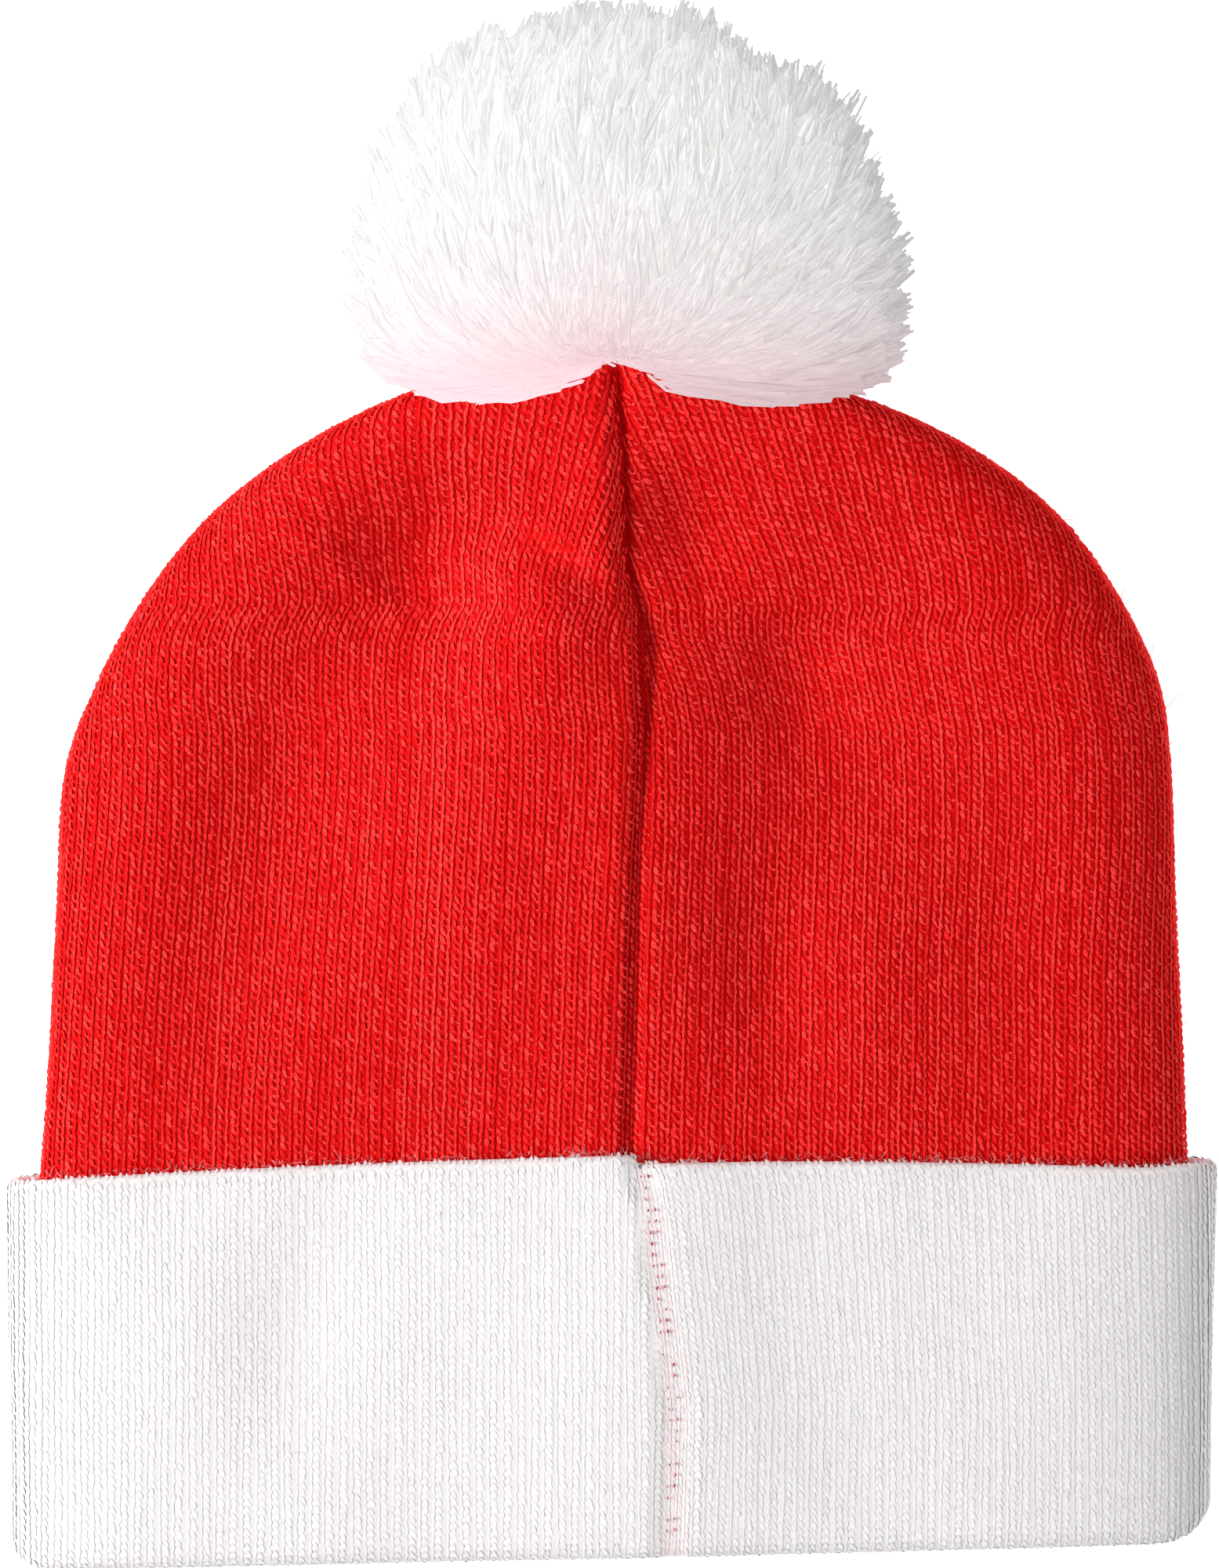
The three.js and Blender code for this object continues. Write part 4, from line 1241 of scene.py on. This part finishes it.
def build_pompom():
    build_pompom_core()
    rng = np.random.default_rng(SEED + 7)
    direction = even_directions(STRANDS, rng)
    path = strand_paths(direction, rng)
    n = len(path)
    tangent = unit(np.gradient(path, axis=1))
    step = np.linalg.norm(np.diff(path, axis=1), axis=2)
    along = np.concatenate([np.zeros((n, 1)), np.cumsum(step, 1)], 1)
    rings, ends = strand_forms(path, tangent, along, rng)
    # Painted shade, as the strands cast no shadows: darker at their roots and at the pompom's rim, lighter at
    # the cut ends
    tint = rng.uniform(-TINTS, TINTS, (n, 1)) + np.linspace(*STRAND_PAINTED_SHADE, STRAND_RINGS)
    tint = tint - RIM_PAINTED_SHADE * pompom_rim(direction)[:, None]
    facing = pompom_facing(path)
    on_left = path[:, -1, 0] < POMPOM_ROOT[0]
    for name, part in (("pompom_yarn_left", on_left), ("pompom_yarn_right", ~on_left)):
        strands = Strands(POMPOM_SOFTNESS)
        keys = rng.uniform(0, KEYS, part.sum())
        strands.add(rings[part], ends[part], along[part], STRAND_SIDE_WIDTH, tint[part], keys, facing[part])
        yarn = strands.piece(name, pompom_yarn, "white_yarn", pompom_red_bounce)
        yarn.visible_shadow = False
    build_pompom_fray(path, tangent, rng)


def build_pompom_core():
    """The dense middle of the pompom behind the strands."""
    polar = np.linspace(0, math.pi, CORE_ROWS + 2)[1:-1]
    turn = np.linspace(0, 2 * math.pi, CORE_COLUMNS, endpoint=False)
    p, a = np.meshgrid(polar, turn, indexing="ij")
    direction = np.stack([np.sin(p) * np.cos(a), np.cos(p), np.sin(p) * np.sin(a)], -1).reshape(-1, 3)
    bump = 1 + 0.006 * ripple(direction[:, 0] * 30, direction[:, 1] * 30 + direction[:, 2] * 41, 9, 5)
    points = POMPOM_ROOT + direction * (pompom_reach(direction) * CORE_SHARE * bump)[:, None]
    poles = POMPOM_ROOT + np.array([(0, POMPOM_FAR * CORE_SHARE, 0), (0, -POMPOM_NEAR * CORE_SHARE, 0)])
    points = np.concatenate([points, poles])
    points = clear_of_crown(under_arch(points, CORE_EDGE_GAP), CORE_CROWN_GAP)
    rings = points[:-2].reshape(CORE_ROWS, CORE_COLUMNS, 3)
    quads, caps = ring_skin(rings, False), pole_caps(rings)
    piece = mesh_piece("pompom_core", points, quads, caps, pompom_heart)
    piece.data.normals_split_custom_set_from_vertices(pompom_facing(points).astype(np.float32))
    piece.visible_shadow = False
    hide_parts("pompom")


# Fibres

FIBRE_RINGS, FIBRE_SIDES, FIBRE_SIDE_WIDTH = 3, 3, 0.1
# Fray of the pompom's strands: how many fibres, their spread and bend, length and radius
FRAY, FRAY_SPREAD, FRAY_BEND = 1000, 0.3, 0.35
FRAY_LENGTH, FRAY_RADIUS = (0.7, 2.0), (0.03, 0.05)
# Stray fibres on each side of the cuff's free edge, of the cuff and of the crown
EDGE_FIBRES = {"count": 350, "lift": 0.6, "length": (0.5, 1.5), "radius": (0.015, 0.026),
               "lean": np.array((0, 0.45, 0))}
CUFF_FIBRES = {"count": 150, "lift": 0.7, "length": (0.8, 2.4), "radius": (0.02, 0.032), "lean": 0}
CROWN_FIBRES = {"count": 300, "lift": 0.7, "length": (0.8, 2.6), "radius": (0.02, 0.035), "lean": 0}
FIBRE_SPREAD, FIBRE_RISE, FIBRE_BEND, FIBRE_DROOP = 0.7, 0.45, 0.55, 0.25


def add_fibres(strands, start, direction, bend, length, radius, rng):
    """Fine curved fibres: start, direction and bend (n, 3), length and radius (n,)."""
    n = len(start)
    t = np.linspace(0.1, 0.9, FIBRE_RINGS)[None, :, None]
    reach = length[:, None, None]
    path = start[:, None] + reach * (direction[:, None] * t + bend[:, None] * t**2)
    tangent = unit(direction[:, None] + 2 * bend[:, None] * t)
    u = unit(np.cross(tangent, unit(rng.standard_normal((n, 1, 3)))))
    w = np.cross(tangent, u)
    angle = np.arange(FIBRE_SIDES) * (2 * math.pi / FIBRE_SIDES)
    radial = np.cos(angle)[:, None] * u[:, :, None] + np.sin(angle)[:, None] * w[:, :, None]
    rings = path[:, :, None] + radial * radius[:, None, None, None]
    ends = np.stack([start, start + length[:, None] * (direction + bend)], 1)
    for points in (rings, ends):
        points[..., 2] = np.maximum(points[..., 2], LEAST_FIBRE_HEIGHT)
    along = t[:, :, 0] * length[:, None]
    strands.add(rings, ends, along, FIBRE_SIDE_WIDTH, rng.uniform(-1, 1, n), rng.uniform(0, KEYS, n))


def build_pompom_fray(path, tangent, rng):
    """Loose fibres at the cut ends and along the outer part of the strands."""
    strands = Strands()
    pick = rng.choice(len(path), FRAY)
    ring = rng.integers(STRAND_RINGS - 4, STRAND_RINGS, FRAY)
    direction = unit(tangent[pick, ring] + FRAY_SPREAD * rng.standard_normal((FRAY, 3)))
    bend = FRAY_BEND * rng.standard_normal((FRAY, 3))
    length = rng.uniform(*FRAY_LENGTH, FRAY)
    radius = rng.uniform(*FRAY_RADIUS, FRAY)
    add_fibres(strands, path[pick, ring], direction, bend, length, radius, rng)
    fray = strands.piece("pompom_fray", pompom_yarn, "white_yarn", pompom_red_bounce)
    fray.visible_shadow = False


def scatter_fibres(strands, sheet, arc, row, kind, rng):
    """Stray fibres of one kind that stand off a knit sheet at the given places."""
    n = kind["count"]
    length = rng.uniform(*kind["length"], n)
    radius = rng.uniform(*kind["radius"], n)
    normal = sheet.normal(arc, row)
    start = sheet.place(arc, row) + normal * kind["lift"]
    direction = unit(FIBRE_SPREAD * rng.standard_normal((n, 3)) + FIBRE_RISE * normal + kind["lean"])
    bend = FIBRE_BEND * rng.standard_normal((n, 3)) - FIBRE_DROOP * normal
    add_fibres(strands, start, direction, bend, length, radius, rng)


def build_stray_fibres(crown_sheets, cuff_sheets):
    rng = np.random.default_rng(SEED + 11)
    white, red = Strands(), Strands()
    for sheet in cuff_sheets:
        row = sheet.rows[-1] - rng.uniform(1.6, 4.2, EDGE_FIBRES["count"])
        arc = rng.uniform(0, 112, EDGE_FIBRES["count"])
        scatter_fibres(white, sheet, arc, row, EDGE_FIBRES, rng)
        arc = rng.uniform(0, 125, CUFF_FIBRES["count"])
        row = rng.uniform(sheet.rows[0] + 30, sheet.rows[-1] - 6, CUFF_FIBRES["count"])
        scatter_fibres(white, sheet, arc, row, CUFF_FIBRES, rng)
    for sheet in crown_sheets:
        arc = rng.uniform(2, 118, CROWN_FIBRES["count"])
        row = rng.uniform(-62, 62, CROWN_FIBRES["count"])
        scatter_fibres(red, sheet, arc, row, CROWN_FIBRES, rng)
    white.piece("cuff_stray_fibres", white_yarn, "white_knit", rim_red_bounce_and_fuzz)
    red.piece("crown_stray_fibres", red_yarn, "red_knit")


build_crown_shell()
build_cuff_shell()
build_crown_stitches(-1, "crown_stitches_left", SEED + 1)
build_crown_stitches(1, "crown_stitches_right", SEED + 2)
cuff_sheets = [build_cuff_stitches(-1, "cuff_stitches_left", SEED + 3),
               build_cuff_stitches(1, "cuff_stitches_right", SEED + 4)]
build_cuff_seam(cuff_sheets)
build_pompom()
build_stray_fibres([crown_sheet(-1), crown_sheet(1)], cuff_sheets)


# Stage, light and camera, in metres

FLOOR_SIZE = 60.0
# The paper is lit from below a little, so that it stays white round the hat
FLOOR_GLOW = 0.65
# White yarn needs many bounces of light between its strands
BOUNCES = 12
WORLD_LIGHT = 0.28
# Square lamps that point at the hat: name, place, side and watts
LAMPS = [
    ("key_left", (-1.9, 0.05, 1.25), 1.3, 76.0),
    ("fill_right", (1.7, -0.3, 1.1), 1.2, 11.0),
    ("soft_top", (0.1, -0.1, 1.7), 1.4, 5.0),
]
# The camera looks straight down, and its frame is this long in millimetres at this distance
CAMERA_PLACE = (-0.00021, 0.00014, 1.2)
FRAME_LENGTH, FRAME_DISTANCE = 280, 1186
SENSOR = 36.0


def build_floor():
    bpy.ops.mesh.primitive_plane_add(size=FLOOR_SIZE, location=(0, 0, 0))
    floor = bpy.context.object
    floor.name = "floor"
    material, tree, shader = new_material("floor_paper", 0.9, 0.0, (1, 1, 1), 0.1)
    noise = add_node(tree, "ShaderNodeTexNoise", {"Scale": 40.0, "Detail": 2.0})
    ramp = add_ramp(tree, noise.outputs["Fac"], [(0.3, (0.97, 0.97, 0.97)), (0.7, (0.98, 0.98, 0.98))])
    tree.links.new(ramp, shader.inputs["Base Color"])
    shader.inputs["Emission Color"].default_value = (1, 1, 1, 1)
    shader.inputs["Emission Strength"].default_value = FLOOR_GLOW
    floor.data.materials.append(material)


def add_lamp(name, place, size, power):
    light = bpy.data.lights.new(name, "AREA")
    light.shape = "SQUARE"
    light.size = size
    light.energy = power
    lamp = bpy.data.objects.new(name, light)
    lamp.location = place
    lamp.rotation_mode = "QUATERNION"
    lamp.rotation_quaternion = (-Vector(place)).to_track_quat("-Z", "Y")
    bpy.context.scene.collection.objects.link(lamp)


def build_light():
    world = bpy.data.worlds.new("studio")
    bpy.context.scene.world = world
    world.use_nodes = True
    background = world.node_tree.nodes["Background"]
    background.inputs["Color"].default_value = (1, 1, 1, 1)
    background.inputs["Strength"].default_value = WORLD_LIGHT
    for lamp in LAMPS:
        add_lamp(*lamp)
    bpy.context.scene.view_settings.view_transform = "Standard"
    bpy.context.scene.cycles.diffuse_bounces = BOUNCES


def build_camera():
    data = bpy.data.cameras.new("camera")
    data.sensor_width = SENSOR
    data.lens = SENSOR * FRAME_DISTANCE / FRAME_LENGTH
    data.clip_end = 10.0
    camera = bpy.data.objects.new("camera", data)
    camera.location = CAMERA_PLACE
    bpy.context.scene.collection.objects.link(camera)
    bpy.context.scene.camera = camera


build_floor()
build_light()
build_camera()
